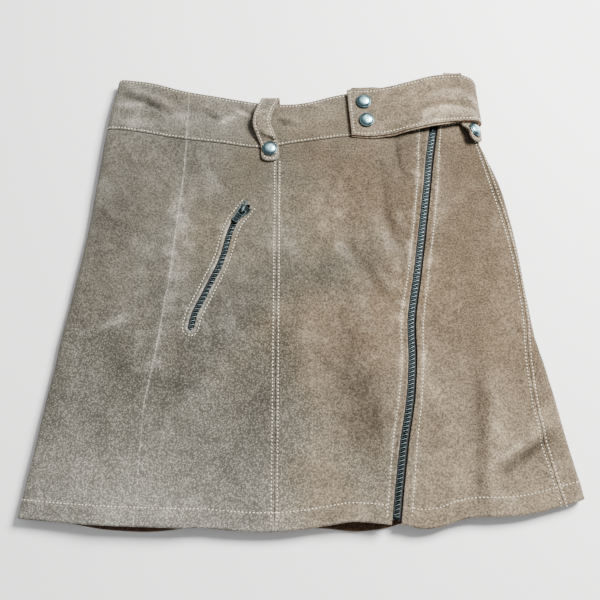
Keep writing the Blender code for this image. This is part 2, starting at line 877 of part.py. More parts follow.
def cut_slot(panel):
    """Cuts the slot that the pocket zip shows through, with round ends."""
    half = SLOT_WIDTH / 2
    top_y, foot_y = SLOT_TOP_Y - half, SLOT_FOOT_Y + half
    y = np.linspace(top_y, foot_y, 18)
    right = POCKET_ZIP.points(y, half + 0 * y)
    left = POCKET_ZIP.points(y[::-1], -half + 0 * y)

    def round_end(y_end, first_angle):
        """A half circle about the line's point at this height, clockwise."""
        centre, (up, across, _) = POCKET_ZIP.frame(y_end)
        angle = np.radians(first_angle - np.linspace(0, 180, 7)[1:-1])[:, None]
        return centre + half * (np.cos(angle) * across + np.sin(angle) * up)

    outline = np.concatenate([right, round_end(foot_y, 360.0), left, round_end(top_y, 180.0)])
    rings = np.stack([outline, outline])
    rings[0, :, 2] = 2 * LOFT.column("side").max()
    rings[1, :, 2] = LOFT.column("side").min() / 2
    combine(panel, add_loft("slot_cutter", rings, "suede"), "DIFFERENCE")


def add_zips(panels):
    near = CHAIN_WIDTH / 2 + SEAM_GAP
    past_top, past_foot = TAPE_PAST_CHAIN
    for side, name in ((-1, "zip_main_tape_left"), (1, "zip_main_tape_right")):
        ends = (CHAIN_TOP_Y + past_top, CHAIN_FOOT_Y - past_foot)
        add_tape(name, MAIN_ZIP, *ends, side * near, side * TAPE_HALF_WIDTH)
    add_chain("zip_main_chain", MAIN_ZIP, CHAIN_TOP_Y, CHAIN_FOOT_Y, CHAIN_WIDTH)
    add_slider("zip_main_slider", MAIN_ZIP, SLIDER_Y, SLIDER_PLAN, 0.0)
    add_pull("zip_main_pull", MAIN_ZIP, SLIDER_Y, PULL_LENGTH, PULL_HALF_WIDTH)

    near = POCKET_CHAIN_WIDTH / 2 + SEAM_GAP
    for side, name in ((-1, "zip_pocket_tape_left"), (1, "zip_pocket_tape_right")):
        ends = (SLOT_TOP_Y + POCKET_TAPE_PAST_SLOT, SLOT_FOOT_Y - POCKET_TAPE_PAST_SLOT)
        add_tape(name, POCKET_ZIP, *ends, side * near, side * POCKET_TAPE_HALF_WIDTH)
    ends = (POCKET_CHAIN_TOP_Y, POCKET_CHAIN_FOOT_Y)
    add_chain("zip_pocket_chain", POCKET_ZIP, *ends, POCKET_CHAIN_WIDTH)
    add_slider("zip_pocket_slider", POCKET_ZIP, POCKET_SLIDER_Y, POCKET_SLIDER_PLAN, POCKET_SLIDER_RISE)
    sizes = (POCKET_PULL_LENGTH, POCKET_PULL_HALF_WIDTH)
    add_pull("zip_pocket_pull", POCKET_ZIP, POCKET_SLIDER_Y, *sizes, POCKET_SLIDER_RISE)
    cut_slot(panels["front_centre_left"])


# ---------------------------------------------------------------- belt tab, loops and snaps

# Runs at which the tab has a column: over the front, closer round the fold, and under the band.
TAB_COLUMNS = np.concatenate(
    [np.linspace(41, 147, 15), np.linspace(151, 183, 8), np.linspace(190, TAB_SEWN_END, 5)]
)
TAB_ROWS = 6


def add_tab_layer(name, depth, corner_shows, step):
    """One layer of the belt tab: columns along its run, rows across its width."""
    share = np.linspace(0, 1, TAB_ROWS)[:, None]
    slant = TAB_END_SLANT * (1 - smooth_step((TAB_COLUMNS - TAB_COLUMNS[0]) / TAB_SLANT_FADE))
    run = TAB_COLUMNS + slant * share
    shows = corner_shows * ramp(run, TAB_SHOWS_FROM) * (1 - ramp(run, TAB_SHOWS_TO))
    top, low = TAB_EDGES.read("top", run), TAB_EDGES.read("low", run)
    y = top + (low - top) * share + shows * (1 - share) ** 4
    y = y - step * (1 - ramp(run, TAB_STEP_TO)) * share**8
    face, outward = TAB.skin(TAB.lap_of_run(run, y), y)
    return add_wall(name, face - outward * depth, face - outward * (depth + TAB_LAYER))


def unit(vectors):
    return vectors / np.linalg.norm(vectors, axis=-1, keepdims=True)


def loop_grid(table):
    """Middle face of a belt loop on a grid along and across it, its outward directions, and the
    distance of each row from the loop's round tip."""
    along = np.linspace(0, len(table.rows) - 1, 3 * len(table.rows) - 2)
    middle = np.stack([table.read(name, along) for name in "xyz"], axis=-1)
    tilt = np.radians(table.read("tilt", along))
    step = np.linalg.norm(np.diff(middle, axis=0), axis=1)
    from_tip = np.append(np.cumsum(step[::-1])[::-1], 0.0)
    radius = LOOP_WIDTH / 2
    inside_end = np.clip(radius - from_tip, 0, 0.97 * radius)
    aside = np.linspace(-1, 1, 5)[None, :] * np.cbrt(radius**3 - inside_end**3)[:, None]
    forward = unit(np.gradient(middle, axis=0))
    lateral = np.stack([np.cos(tilt), 0 * tilt, -np.sin(tilt)], axis=-1)
    lateral = unit(lateral - forward * np.sum(lateral * forward, axis=1, keepdims=True))
    outward = np.cross(forward, lateral)[:, None]
    sunk = (table.read("bend", along)[:, None] * aside**2)[..., None]
    face = middle[:, None] + aside[..., None] * lateral[:, None] - sunk * outward
    return face, np.broadcast_to(outward, face.shape), from_tip


def add_loop(name, table):
    face, outward, _ = loop_grid(table)
    half = outward * LOOP_THICKNESS / 2
    return add_wall(name, face + half, face - half)


def loop_seat(table):
    """Middle of a loop's snap on its outer face, and the direction out of it."""
    face, outward, from_tip = loop_grid(table)
    row = int(np.argmin(np.abs(from_tip - SNAP_FROM_TIP)))
    middle = face.shape[1] // 2
    return face[row, middle] + outward[row, middle] * LOOP_THICKNESS / 2, outward[row, middle]


def tab_seat(x, y):
    """Seat of a snap on the tab, level with the highest point under the cap."""
    reach = np.linspace(-SNAP_RADIUS, SNAP_RADIUS, 9)
    return np.array([x, y, TAB.top(x + reach[:, None], y + reach[None, :]).max()]), UP


def add_snap(name, seat, outward):
    """A turned cap on a seat point, its axis along the outward direction."""
    first = unit(np.cross([0.0, 1.0, 0.0], outward))
    second = np.cross(outward, first)
    angle = np.linspace(0, 2 * np.pi, SNAP_SIDES, endpoint=False)[:, None]
    circle = SNAP_RADIUS * (np.cos(angle) * first + np.sin(angle) * second)
    radius = SNAP_PROFILE.column("radius")[:, None, None]
    height = SNAP_PROFILE.column("height")[:, None, None] + SEAM_GAP
    return add_loft(name, seat + radius * circle + height * outward, "snap_metal")


def add_tab_and_loops():
    add_tab_layer("strap_face", 0.0, 0.0, 0.0)
    add_tab_layer("strap_under", TAB_LAYER + SEAM_GAP, TAB_UNDER_SHOWS, TAB_UNDER_STEP)
    add_loop("loop_front", LOOP_FRONT)
    add_loop("loop_side", LOOP_SIDE)
    add_snap("snap_strap_upper", *tab_seat(*SNAP_TAB_UPPER))
    add_snap("snap_strap_lower", *tab_seat(*SNAP_TAB_LOWER))
    add_snap("snap_loop_front", *loop_seat(LOOP_FRONT))
    add_snap("snap_loop_side", *loop_seat(LOOP_SIDE))


def main():
    for old in list(bpy.data.objects):
        bpy.data.objects.remove(old, do_unlink=True)
    panels = add_cloth()
    add_zips(panels)
    add_tab_and_loops()


main()
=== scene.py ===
"""Looks of a suede mini skirt laid flat: its panels, waistband, belt tab, loops, zips, snaps and stitching.

Everything lies on one form, a flattened tube. A place on it is a girth, which is the length round the
tube from the left fold, and a height up the garment. Each piece is a grid of such places, lifted by the
cloth's soft relief and by its sewing. X runs across, Y from the hem to the waist and Z up. Sizes are in
millimetres until a mesh is made, which is in metres.
"""

import bpy
import numpy as np
from mathutils import Matrix


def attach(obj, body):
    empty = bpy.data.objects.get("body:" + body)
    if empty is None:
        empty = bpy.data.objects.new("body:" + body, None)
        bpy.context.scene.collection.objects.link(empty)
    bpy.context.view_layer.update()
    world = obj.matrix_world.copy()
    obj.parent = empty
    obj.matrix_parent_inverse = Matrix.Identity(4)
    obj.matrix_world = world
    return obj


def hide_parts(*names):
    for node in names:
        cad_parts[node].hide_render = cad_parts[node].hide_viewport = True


bl_info = {
    "name": "Suede mini skirt",
    "version": (1, 0, 0),
    "blender": (4, 5, 0),
    "location": "3D View > Sidebar > Skirt",
    "description": "Builds the suede, zips, snaps and stitching of a mini skirt that lies flat",
    "category": "Object",
}

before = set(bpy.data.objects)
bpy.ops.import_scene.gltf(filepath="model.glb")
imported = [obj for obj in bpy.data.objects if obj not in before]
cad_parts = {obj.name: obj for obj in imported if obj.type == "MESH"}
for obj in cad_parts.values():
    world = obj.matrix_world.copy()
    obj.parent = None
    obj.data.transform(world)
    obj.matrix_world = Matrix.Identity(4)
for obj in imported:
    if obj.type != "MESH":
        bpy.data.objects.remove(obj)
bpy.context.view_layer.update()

MILLIMETRE = 0.001
UP = np.array([0.0, 0.0, 1.0])

# Cloth
SUEDE = 1.4  # thickness of one layer
BAND_LAYERS = 2.6  # the waistband is folded double
HEM_TURN = 16.0  # how far up the turned hem reaches
SEAM_GAP = 0.3
HALF_GAP = 0.03  # half of what stays open between two pieces that are sewn together
SEAM_ROUND = 1.0  # radius of the edges that turn down into a seam
SEAM_DEPTH = 0.45  # how deep they go, as a share of that radius
CUT_ROUND = 0.35  # radius of a raw edge
CENTRE_SEAM_X = -21.6
SIDE_SEAM_UNDER = 16.0  # left side seam, round on the back, from the left fold

# Slanted front zip
ZIP_EDGE_LEFT = 3.15  # from the middle of the chain to the suede's edge on each side
ZIP_EDGE_RIGHT = 4.2
TAPE_CLEAR = 13.7  # no second layer closer to the zip than this
TAPE_HALF_WIDTH = 13.4
TAPE_THICKNESS = 0.8
TAPE_GAP = 0.9  # behind the suede
TAPE_TOP_Y = 187.0
TAPE_FOOT_Y = -194.0
CHAIN_HALF_WIDTH = 3.0
TEETH_ASIDE = -0.4  # the teeth lie closer to the left edge
TEETH_HALF_WIDTH = 2.75
CHAIN_HALF_THICKNESS = 1.2
CHAIN_SUNK = 0.9  # top of the teeth below the suede's face
CHAIN_TOP_Y = 181.0
CHAIN_FOOT_Y = -190.0

# Pocket zip
SLOT_HALF_WIDTH = 2.55
SLOT_TOP_Y = 71.5
SLOT_FOOT_Y = -42.0
POCKET_TAPE_HALF_WIDTH = 11.0
POCKET_TAPE_TOP_Y = 74.5
POCKET_TAPE_FOOT_Y = -45.0
POCKET_CHAIN_HALF_WIDTH = 2.3
POCKET_CHAIN_TOP_Y = 61.0
POCKET_CHAIN_FOOT_Y = -41.0

# Sliders and pulls
SLIDER_Y = 186.5
PULL_LENGTH = 19.0
PULL_HALF_WIDTH = 2.8
POCKET_SLIDER_Y = 65.9
POCKET_SLIDER_RISE = 0.4  # its upper plate is wider than the slot, and clears the suede
POCKET_PULL_LENGTH = 13.2
POCKET_PULL_HALF_WIDTH = 3.0
PULL_AXIS = 1.6  # height of the eye over the suede's face
BAR_RINGS = 15  # along a rod of a slider or a pull

# Belt tab, of two layers, and the rise of the back over its sewn end
TAB_LAYER = 1.4
TAB_PACK = 2 * TAB_LAYER + SEAM_GAP
TAB_FREE_END = 41.0
TAB_SEWN_END = 233.0
TAB_END_SLANT = 3.6  # how much further in the lower corner of its free end is
TAB_SLANT_FADE = 40.0
TAB_UNDER_SHOWS = 3.0  # how far the under layer's corner stands out above the face's
TAB_SHOWS_FROM = (42.0, 46.0)
TAB_SHOWS_TO = (62.0, 78.0)
TAB_UNDER_STEP = 1.2  # how far the under layer stands out below the face's lower edge
TAB_STEP_TO = (128.0, 146.0)
TAB_DEEPEST_CREASE = 0.4  # the front zip's pull lies under the tab
TAB_LOOSE_FROM = (66.0, 92.0)
TAB_CUT = (192, 47)  # length and width that it is cut to
BACK_RISE = 1.1 * TAB_PACK
BACK_RISE_X = (64.0, 94.0)
BACK_RISE_Y = (104.0, 148.0)

# Belt loops and snap caps
LOOP_THICKNESS = 2.0
LOOP_WIDTH = 15.6
SNAP_TAB_UPPER = (56.0, 171.2)
SNAP_TAB_LOWER = (58.4, 152.4)
SNAP_FROM_TIP = 10.6
SNAP_RADIUS = 6.8
SNAP_SIDES = 48

# Rows of topstitching: distances from a seam's middle or a folded edge
SEAM_ROW = 2.25
HEM_ROW = 14.5
WAIST_ROW = 2.5
BAND_FOOT_ROW = 2.0
POCKET_ROW = 6.7  # from the middle of the pocket zip
TAB_ROW = 2.5
LOOP_ROW = 2.2
CENTRE_ROW_ENDS = (114.0, -198.0)  # heights between which the rows up and down the garment run
SIDE_ROW_ENDS = (146.0, -184.0)
UNDER_ROW_ENDS = (140.0, -191.0)
ZIP_ROW_ENDS = (184.0, -191.5)
TAB_ROW_FROM = 225.0  # run at which the tab's row begins, behind the fold

# Relief that the sewing leaves in the cloth
FAR = 99.0  # further than any of it reaches
TROUGH_DEPTH = 0.32  # under a row of stitches
TROUGH_WIDTH = 0.6  # half width of such a trough
GROOVE_WIDTH = 0.5  # half width of the painted shade line in it
PUCKER_HEIGHT = 0.13  # ripples across a row
SWELL_HEIGHT = 0.3  # beside a seam, an edge and the pocket's slot
TURNED_HEIGHT = 0.22  # where a turned hem or seam lies under the cloth
BAND_STEP = 0.55  # how much lower the panels are at the band's foot

# Sizes that a spacing of grid lines is worked out for
PANEL_HEIGHT = 330.0
BAND_HEIGHT = 46.0
TAB_WIDTH = 46.0
SLOT_PANEL_TOP_Y = 128.0
SLOT_PANEL_FOOT_Y = -201.0
ROUNDS = 8  # of substitution, where girth and height each depend on the other

# Place of the camera in metres and its tilt in degrees, and the level of the floor
CAMERA_PLACE = (-0.0015, -0.216, 0.653)
CAMERA_TILT = 17.4
FLOOR_HALF_WIDTH = 3000.0
FLOOR_LEVEL = -0.55


class Table:
    """Rows of numbers under named columns, read between the rows on a smooth curve."""

    def __init__(self, columns, rows):
        self.names = columns.split()
        self.rows = np.array(sorted(rows), float)

    def column(self, name):
        return self.rows[:, self.names.index(name)]

    def read(self, name, at):
        """Value of a column where the first column is `at`: a cubic through the rows, level past the ends."""
        knots, values = self.rows[:, 0], self.column(name)
        slopes = np.gradient(values, knots)
        at = np.clip(at, knots[0], knots[-1])
        cell = np.clip(np.searchsorted(knots, at) - 1, 0, len(knots) - 2)
        width = knots[cell + 1] - knots[cell]
        s = (at - knots[cell]) / width
        return (
            values[cell] * (1 + 2 * s) * (1 - s) ** 2
            + slopes[cell] * width * s * (1 - s) ** 2
            + values[cell + 1] * s**2 * (3 - 2 * s)
            - slopes[cell + 1] * width * s**2 * (1 - s)
        )


def stepped(columns, rows):
    """A table whose first column counts its rows."""
    return Table("step " + columns, [(step, *row) for step, row in enumerate(rows)])


# Side folds of the tube as it lies, by height up the garment.
OUTLINE = Table("y left right", [
    (204, -167.6, 154.0), (178, -171.7, 155.5), (152, -175.6, 156.8), (137, -177.2, 158.5),
    (117, -179.2, 166.0), (96, -181.0, 174.1), (56, -185.0, 182.8), (-14, -195.0, 191.1),
    (-46, -200.6, 194.8), (-63, -202.9, 198.8), (-106, -209.2, 207.9), (-178, -219.6, 221.7),
    (-193, -221.7, 224.0),
])

# Height of the folds, and how much higher the front lies between them.
LOFT = Table("y side crown", [
    (204, 13.0, 1.0), (150, 12.6, 1.0), (90, 11.4, 1.6), (0, 10.6, 2.4), (-120, 10.6, 2.4), (-204, 11.0, 1.6),
])

# Waist edge and the seam under the band, by share of the garment's width from the left fold.
BAND_LINES = Table("share waist seam", [
    (0.0, 197.5, 146.0), (0.03, 196.4, 145.4), (0.09, 193.8, 142.9), (0.2, 184.2, 136.1),
    (0.314, 177.2, 131.4), (0.41, 172.0, 126.4), (0.512, 171.2, 131.4), (0.64, 181.2, 137.4),
    (0.795, 187.0, 140.6), (0.91, 192.0, 147.0), (0.965, 193.2, 150.6), (1.0, 191.0, 152.0),
])

# Hem of the front and of the back layer under it.
HEM_LINES = Table("share front back", [
    (0.0, -192.3, -192.3), (0.05, -194.4, -193.6), (0.104, -196.3, -196.8), (0.143, -197.4, -199.8),
    (0.183, -198.2, -201.3), (0.225, -198.8, -202.0), (0.258, -199.3, -201.2), (0.288, -199.8, -199.6),
    (0.322, -199.6, -198.2), (0.375, -201.5, -200.0), (0.444, -202.6, -201.0), (0.497, -200.8, -199.4),
    (0.54, -197.8, -199.6), (0.588, -194.9, -201.7), (0.632, -196.2, -200.2), (0.655, -197.2, -198.0),
    (0.675, -197.0, -195.4), (0.705, -200.0, -198.4), (0.74, -198.5, -197.0), (0.767, -194.3, -192.8),
    (0.802, -191.2, -189.8), (0.846, -191.1, -189.6), (0.9, -188.8, -187.3), (0.95, -183.6, -182.4),
    (1.0, -178.0, -178.0),
])

# Seams of the front: between the two left panels, the zip's middle, and the right side seam.
SEAMS = Table("y left_seam zip side_seam", [
    (204, -102.0, 125.0, 153.0), (140, -102.6, 117.0, 156.0), (122, -103.0, 114.0, 160.3),
    (84, -104.8, 108.9, 169.9), (46, -107.9, 103.4, 178.8), (2, -111.6, 96.6, 185.2),
    (-33, -116.0, 91.0, 187.3), (-66, -120.6, 90.4, 186.6), (-100, -126.6, 87.2, 188.6),
    (-134, -127.8, 81.1, 193.6), (-170, -128.2, 75.9, 201.0), (-204, -129.2, 71.4, 209.5),
])

# Topstitching on each side of the slanted zip, from its middle.
ZIP_ROWS = Table("y left right", [
    (204, 11.2, 8.0), (137, 11.5, 7.4), (108, 9.1, 9.0), (58, 7.9, 10.0), (14, 7.5, 9.8), (-23, 8.0, 10.3),
    (-64, 8.3, 9.4), (-112, 9.1, 9.8), (-142, 8.5, 11.0), (-179, 7.4, 11.8), (-204, 7.4, 11.8),
])

# Middle line of the pocket zip.
POCKET_LINE = Table("y x", [
    (80, -40.5), (72, -46.2), (66, -50.7), (55, -58.4), (48, -61.3), (34, -65.0), (26, -66.9), (18, -69.4),
    (8, -73.6), (-2, -78.3), (-12, -82.7), (-20, -86.5), (-28, -90.0), (-36, -91.8), (-46, -93.5),
])

# The cloth's largest folds: a soft ridge or trough along a line, its rise and its half width.
FOLDS = Table("x0 y0 x1 y1 rise width", [
    (-157, 188, -101, 165, -1.6, 8), (-161, 175, -138, 177, 1.2, 7), (-137, 165, -119, 155, -1.2, 7),
    (84, 134, 87, 105, -2.8, 8), (73, 95, 80, 48, -2.0, 9), (91, 110, 104, 95, 1.5, 8),
    (68, 76, 69, 29, 1.6, 10), (37, 48, 74, -15, -1.8, 10), (-108, 76, -110, -15, 2.0, 12),
    (-110, -15, -120, -75, 2.0, 12), (-119, -88, -82, -92, -1.6, 10), (-187, -50, -143, -33, 1.2, 10),
    (145, -84, 137, -178, -2.0, 10), (155, -84, 147, -178, 1.8, 11), (160, -156, 197, -132, -2.4, 9),
    (160, -146, 194, -118, 2.2, 9), (-152, -197, -108, -199, 3.6, 26), (36, -197, 60, -197, 3.4, 15),
])

# Finer creases of the front: a line bowed sideways, its depth and half width, and the lip beside it.
FRONT_CREASES = Table("x0 y0 x1 y1 bow depth width lip", [
    (-78, 148, -60, 158, 0.5, -0.8, 2.4, 0.0), (-63, 165, -40, 152, 0.8, -0.8, 2.2, 0.0),
    (-60, 169, -40, 158, 0.8, 1.0, 2.8, 0.0), (-24, 161, 0, 152, -0.8, -0.8, 2.0, 0.0),
    (-22, 155, -2, 147, -0.8, 0.9, 2.6, 0.0), (-18, 144, -3, 147, 0.5, -0.8, 2.0, 0.0),
    (-92, 164, -74, 154, 0.8, 1.0, 3.2, 0.5), (-166, 182, -118, 161, 2.0, 1.4, 4.3, 1.0),
    (-166, 168, -142, 172, -1.5, -1.3, 3.0, 0.0), (-114, 155, -98, 163, 0.5, -0.8, 2.8, 0.0),
    (-144.6, 162.7, -124.6, 153.5, 1.0, 1.0, 4.0, 0.5), (-4, 166, 22, 162, 1.2, 0.5, 2.8, 0.3),
    (8, 146, 30, 152, -1.0, 0.4, 2.4, 0.3), (84, 136, 87, 108, 1.2, 1.2, 1.6, 0.5),
    (73, 96, 80, 50, -2.0, 0.6, 4.0, 0.4), (69, 76, 90, -15, 3.0, 0.6, 5.0, 0.4),
    (74, -20, 87, -25, 0.5, 0.7, 2.4, 0.4), (37, 48, 74, -15, -2.0, 0.5, 4.2, 0.4),
    (94, 122, 104, 112, 0.8, 0.5, 2.4, 0.3), (90, 103, 103, 96, -0.6, 0.5, 2.2, 0.4),
    (-119, -88, -82, -92, 1.0, 0.3, 4.2, 0.2), (-187, -48, -143, -32, 1.5, -0.5, 4.5, 0.1),
    (-178, -16, -145, -7, -1.0, 0.4, 3.2, 0.3), (-175, 62, -148, 48, 1.5, 0.4, 3.6, 0.3),
    (-160, 118, -128, 108, -1.6, 0.4, 4.2, 0.3), (145, -84, 137, -176, 2.0, 0.9, 5.0, 0.5),
    (158, -158, 200, -130, 1.5, 1.1, 4.2, 0.6), (170, -86, 196, -78, -1.2, 0.4, 3.4, 0.3),
    (128, 60, 168, 88, 2.5, 0.4, 4.6, 0.3), (54, -181, 56, -193, 0.5, 0.5, 2.0, 0.4),
    (94, -184, 96, -190, 0.2, 0.6, 1.8, 0.4), (-10, 84, 26, 98, 2.0, 0.3, 5.0, 0.2),
    (6, -60, 40, -96, 3.0, 0.3, 6.0, 0.2),
])

# Creases of the back, which only go inwards.
BACK_CREASES = Table("x0 y0 x1 y1 bow depth width lip", [
    (-150, 176, -104, 160, 2.0, 0.9, 4.0, 0), (-70, 160, -30, 154, -2.0, 0.7, 3.4, 0),
    (20, 158, 58, 166, 1.5, 0.6, 3.4, 0), (-140, 96, -96, 60, 4.0, 1.1, 6.0, 0),
    (-30, 70, 6, -12, -5.0, 1.2, 8.0, 0), (70, 60, 112, 10, 4.0, 1.0, 7.0, 0),
    (-170, -20, -112, -46, -3.0, 0.9, 5.0, 0), (120, -50, 168, -96, 4.0, 1.1, 6.0, 0),
    (-70, -90, -52, -168, 4.0, 1.0, 7.0, 0), (40, -110, 70, -180, -3.0, 0.9, 6.0, 0),
    (-160, -130, -120, -150, 2.0, 0.7, 4.0, 0), (150, 100, 120, 84, 1.5, 0.6, 4.0, 0),
])

# Creases of the belt tab and of the front loop.
TAB_CREASES = Table("x0 y0 x1 y1 bow depth width lip", [
    (100, 159, 160, 162, 7.5, 1.1, 3.0, 0.1), (105, 153, 160, 153, 10.0, -1.1, 3.6, 0.0),
    (114, 172, 158, 168, 9.0, -0.8, 3.4, 0.0), (76, 176, 98, 181, -1.0, 0.4, 3.5, 0.2),
    (112, 148, 140, 151, 0.8, -0.5, 3.0, 0.0), (80, 143, 104, 149, 1.0, 0.4, 3.0, 0.2),
])
LOOP_CREASES = Table("x0 y0 x1 y1 bow depth width lip", [
    (-38, 138.5, -24, 132.5, -1.0, 0.7, 1.8, 0.5), (-31, 136.5, -25, 132.5, 0.0, 0.8, 1.5, 0.1),
    (-40, 152, -30, 156, 0.4, 0.3, 1.8, 0.2), (140, 186, 150, 182, 0.3, 0.4, 2.0, 0.2),
    (142, 172, 152, 170, 0.3, 0.3, 1.8, 0.2),
])

# Where the suede is paler (+) or darker (-): soft ovals, turned by so many degrees. Most are brushed nap;
# the small ones on the band and one along the lower right crease are painted shade and painted highlight.
NAP_AND_SHADE_PATCHES = Table("x y half_width half_height turn shade", [
    (-160, 82, 24, 40, 10, -0.30), (-176, 10, 20, 26, 0, -0.18), (-108, 40, 14, 50, -10, 0.10),
    (-134, -85, 14, 45, -6, 0.18), (-52, 24, 14, 30, -22, -0.10), (-70, -38, 28, 26, 0, 0.26),
    (-50, 100, 20, 14, 0, -0.15), (40, -58, 22, 58, 5, -0.36), (58, -128, 22, 38, 0, -0.52),
    (-70, -120, 30, 22, 0, -0.15), (0, -40, 50, 40, 0, 0.04), (80, -30, 9, 60, -4, 0.15),
    (58, -14, 20, 20, 0, -0.12), (20, 60, 26, 26, 0, 0.10), (140, 104, 16, 16, 0, -0.24),
    (118, 60, 10, 50, -6, 0.18), (112, -96, 14, 34, 8, 0.26), (142, -70, 14, 60, -8, -0.30),
    (196, -100, 9, 70, 12, 0.12), (150, -160, 30, 14, 20, 0.15), (-195, -175, 24, 26, 0, 0.28),
    (-60, -182, 60, 16, 0, -0.06), (50, -186, 30, 8, 0, -0.08), (158, -158, 26, 8, 35, -0.22),
    (-134, 165, 46, 16, -10, 0.32), (-140, 176, 16, 5, -22, -0.45), (-150, 152, 18, 5, -8, 0.35),
    (-115, 160, 9, 4, 10, 0.30), (-79, 160, 8, 5, 30, -0.25), (-64, 156, 14, 4, 32, 0.35),
    (148, 160, 28, 9, 0, 0.45), (140, 185, 24, 5, 0, -0.20), (75, 165, 30, 14, 0, -0.15),
])

# Places where the cloth is held flat: under sliders, snaps, loops and the tab.
HELD = Table("x y half_width half_height", [
    (97, 163, 64, 31), (123, 186.5, 18, 14), (-51, 64, 15, 15), (-28, 124, 13, 18), (-27.5, 168, 12, 9),
    (137, 188, 12, 12),
])

# The belt tab's two long edges, by run: x along the front, then on round the right fold and under.
TAB_EDGES = Table("run top low", [
    (41, 183.4, 138.0), (66, 184.6, 136.8), (89, 187.8, 140.6), (126, 196.4, 148.0), (144, 197.2, 150.4),
    (153, 194.4, 150.9), (166, 190.6, 150.9), (182, 189.4, 151.6), (236, 189.0, 151.6),
])

# How far the tab's underside stands off the band, by x along the front, and the tab's right fold.
TAB_LIFT = Table("x lift", [
    (40, 0.35), (66, 0.35), (80, 1.8), (98, 4.6), (122, 5.2), (138, 4.4), (150, 4.0), (165, 4.0),
])
TAB_FOLD = Table("y right", [(200, 158.6), (178, 160.4), (152, 162.6), (130, 163.0)])

# Middle of each belt loop, from its sewn end inside the band, over the edge, down to its tip.
# tilt turns the strip about its length in degrees, bend curls its sides down, in 1/mm.
LOOP_FRONT = stepped("x y z tilt bend", [
    (-27.5, 163.0, 9.9, 0, 0), (-27.5, 169.5, 9.9, 0, 0), (-27.6, 174.0, 11.6, 0, 0),
    (-28.0, 175.0, 14.6, 0, 0), (-29.5, 171.0, 17.8, 0, 0.01), (-33.5, 160.0, 21.4, -4, 0.015),
    (-36.0, 149.0, 22.0, -6, 0.015), (-33.0, 139.0, 18.6, -4, 0.01), (-29.5, 131.5, 15.2, 0, 0),
    (-28.3, 124.5, 14.8, 0, 0), (-28.2, 113.0, 14.8, 0, 0),
])
LOOP_SIDE = stepped("x y z tilt bend", [
    (137.0, 183.0, 8.9, 0, 0), (137.0, 192.5, 8.9, 0, 0), (137.3, 199.3, 10.6, 0, 0),
    (137.8, 201.4, 13.4, 0, 0), (138.5, 199.3, 15.5, 0, 0), (140.0, 192.0, 15.1, 0, 0),
    (142.3, 180.0, 14.9, 0, 0.002), (145.0, 168.0, 14.9, 1, 0.006), (147.6, 158.5, 15.0, 5, 0.014),
    (150.3, 151.5, 15.0, 10, 0.018), (153.2, 145.8, 15.2, 29, 0.006), (154.8, 141.0, 15.2, 38, 0),
    (155.6, 131.8, 15.6, 39, 0),
])

# Half section of a snap cap: a foot sunk in the suede, a rolled rim, a groove and a dome.
SNAP_PROFILE = stepped("radius height", [
    (0.93, -0.45), (0.975, 0.0), (1.0, 0.45), (0.99, 0.8), (0.955, 1.05), (0.915, 1.12), (0.885, 1.1),
    (0.87, 1.2), (0.845, 1.5), (0.79, 1.85), (0.7, 2.25), (0.58, 2.6), (0.44, 2.86), (0.28, 3.02),
    (0.12, 3.09), (0.02, 3.1),
])

# A zip tooth from its foot on the tape to its head past the middle, in half widths of the chain, its
# half length in pitches and its half height in millimetres.
TOOTH_SLANT = 0.5  # how far teeth climb towards the right, per length across
TOOTH = Table("reach half_length half_height", [
    (-1.0, 0.15, 0.5), (-0.92, 0.27, 1.0), (-0.5, 0.30, 1.2), (0.0, 0.27, 1.15), (0.5, 0.27, 1.1),
    (0.75, 0.22, 0.9), (0.85, 0.12, 0.5),
])

# Plates of the sliders and floor of a pull: half width by place up the zip from the pull's hinge.
SLIDER_PLAN = Table("along half", [(-4.6, 2.6), (-3.2, 3.3), (2.6, 3.4), (4.6, 2.9)])
POCKET_SLIDER_PLAN = Table("along half", [(-4.6, 3.9), (-3.2, 4.2), (2.6, 5.3), (4.6, 5.1)])

# The arch over the hinge, with a nose up the zip: a strap's middle line, for a slider that isn't raised.
ARCH = stepped("along height", [
    (-3.0, 0.3), (-2.9, 2.1), (-2.3, 2.8), (-0.8, 3.05), (1.2, 2.95), (3.2, 2.1), (5.4, 0.9), (7.8, 0.55),
])


# ---------------------------------------------------------------- settings that a user may change


def colour(name, description, default):
    return bpy.props.FloatVectorProperty(
        name=name, description=description, subtype="COLOR", size=3, min=0.0, max=1.0, default=default
    )


def amount(name, description, default, min=0.0, **options):
    return bpy.props.FloatProperty(name=name, description=description, default=default, min=min, **options)


def length(name, description, millimetres, least=0.0):
    options = {"precision": 5, "unit": "LENGTH", "subtype": "DISTANCE"}
    return amount(name, description, millimetres * MILLIMETRE, least * MILLIMETRE, **options)


class SuedeSettings(bpy.types.PropertyGroup):
    """Colours and relief of the suede."""

    cool: colour("Cool side", "Suede at the wearer's right", (0.086, 0.0795, 0.0625))
    warm: colour("Warm side", "Suede at the wearer's left", (0.092, 0.068, 0.0425))
    # the pale colours are also those of the painted highlights on ridges, lips, swells and puckers
    pale_cool: colour("Pale cool nap", "Where the nap is brushed up, on the cool side", (0.272, 0.262, 0.226))
    pale_warm: colour("Pale warm nap", "Where the nap is brushed up, on the warm side", (0.275, 0.225, 0.165))
    flesh: colour("Flesh side", "The inside of the suede", (0.075, 0.045, 0.028))
    cut_edge: colour("Cut edge", "Raw edges of the belt tab", (0.27, 0.15, 0.08))
    rumple: length("Rumple", "Height of the soft unevenness", 0.45)
    grain: length("Grain", "Size of the nap's flecks", 1.5, 0.2)
    front_step: length("Front grid", "Spacing of the grid on the front", 1.9, 0.5)
    back_step: length("Back grid", "Spacing of the grid on the back", 3.4, 0.5)


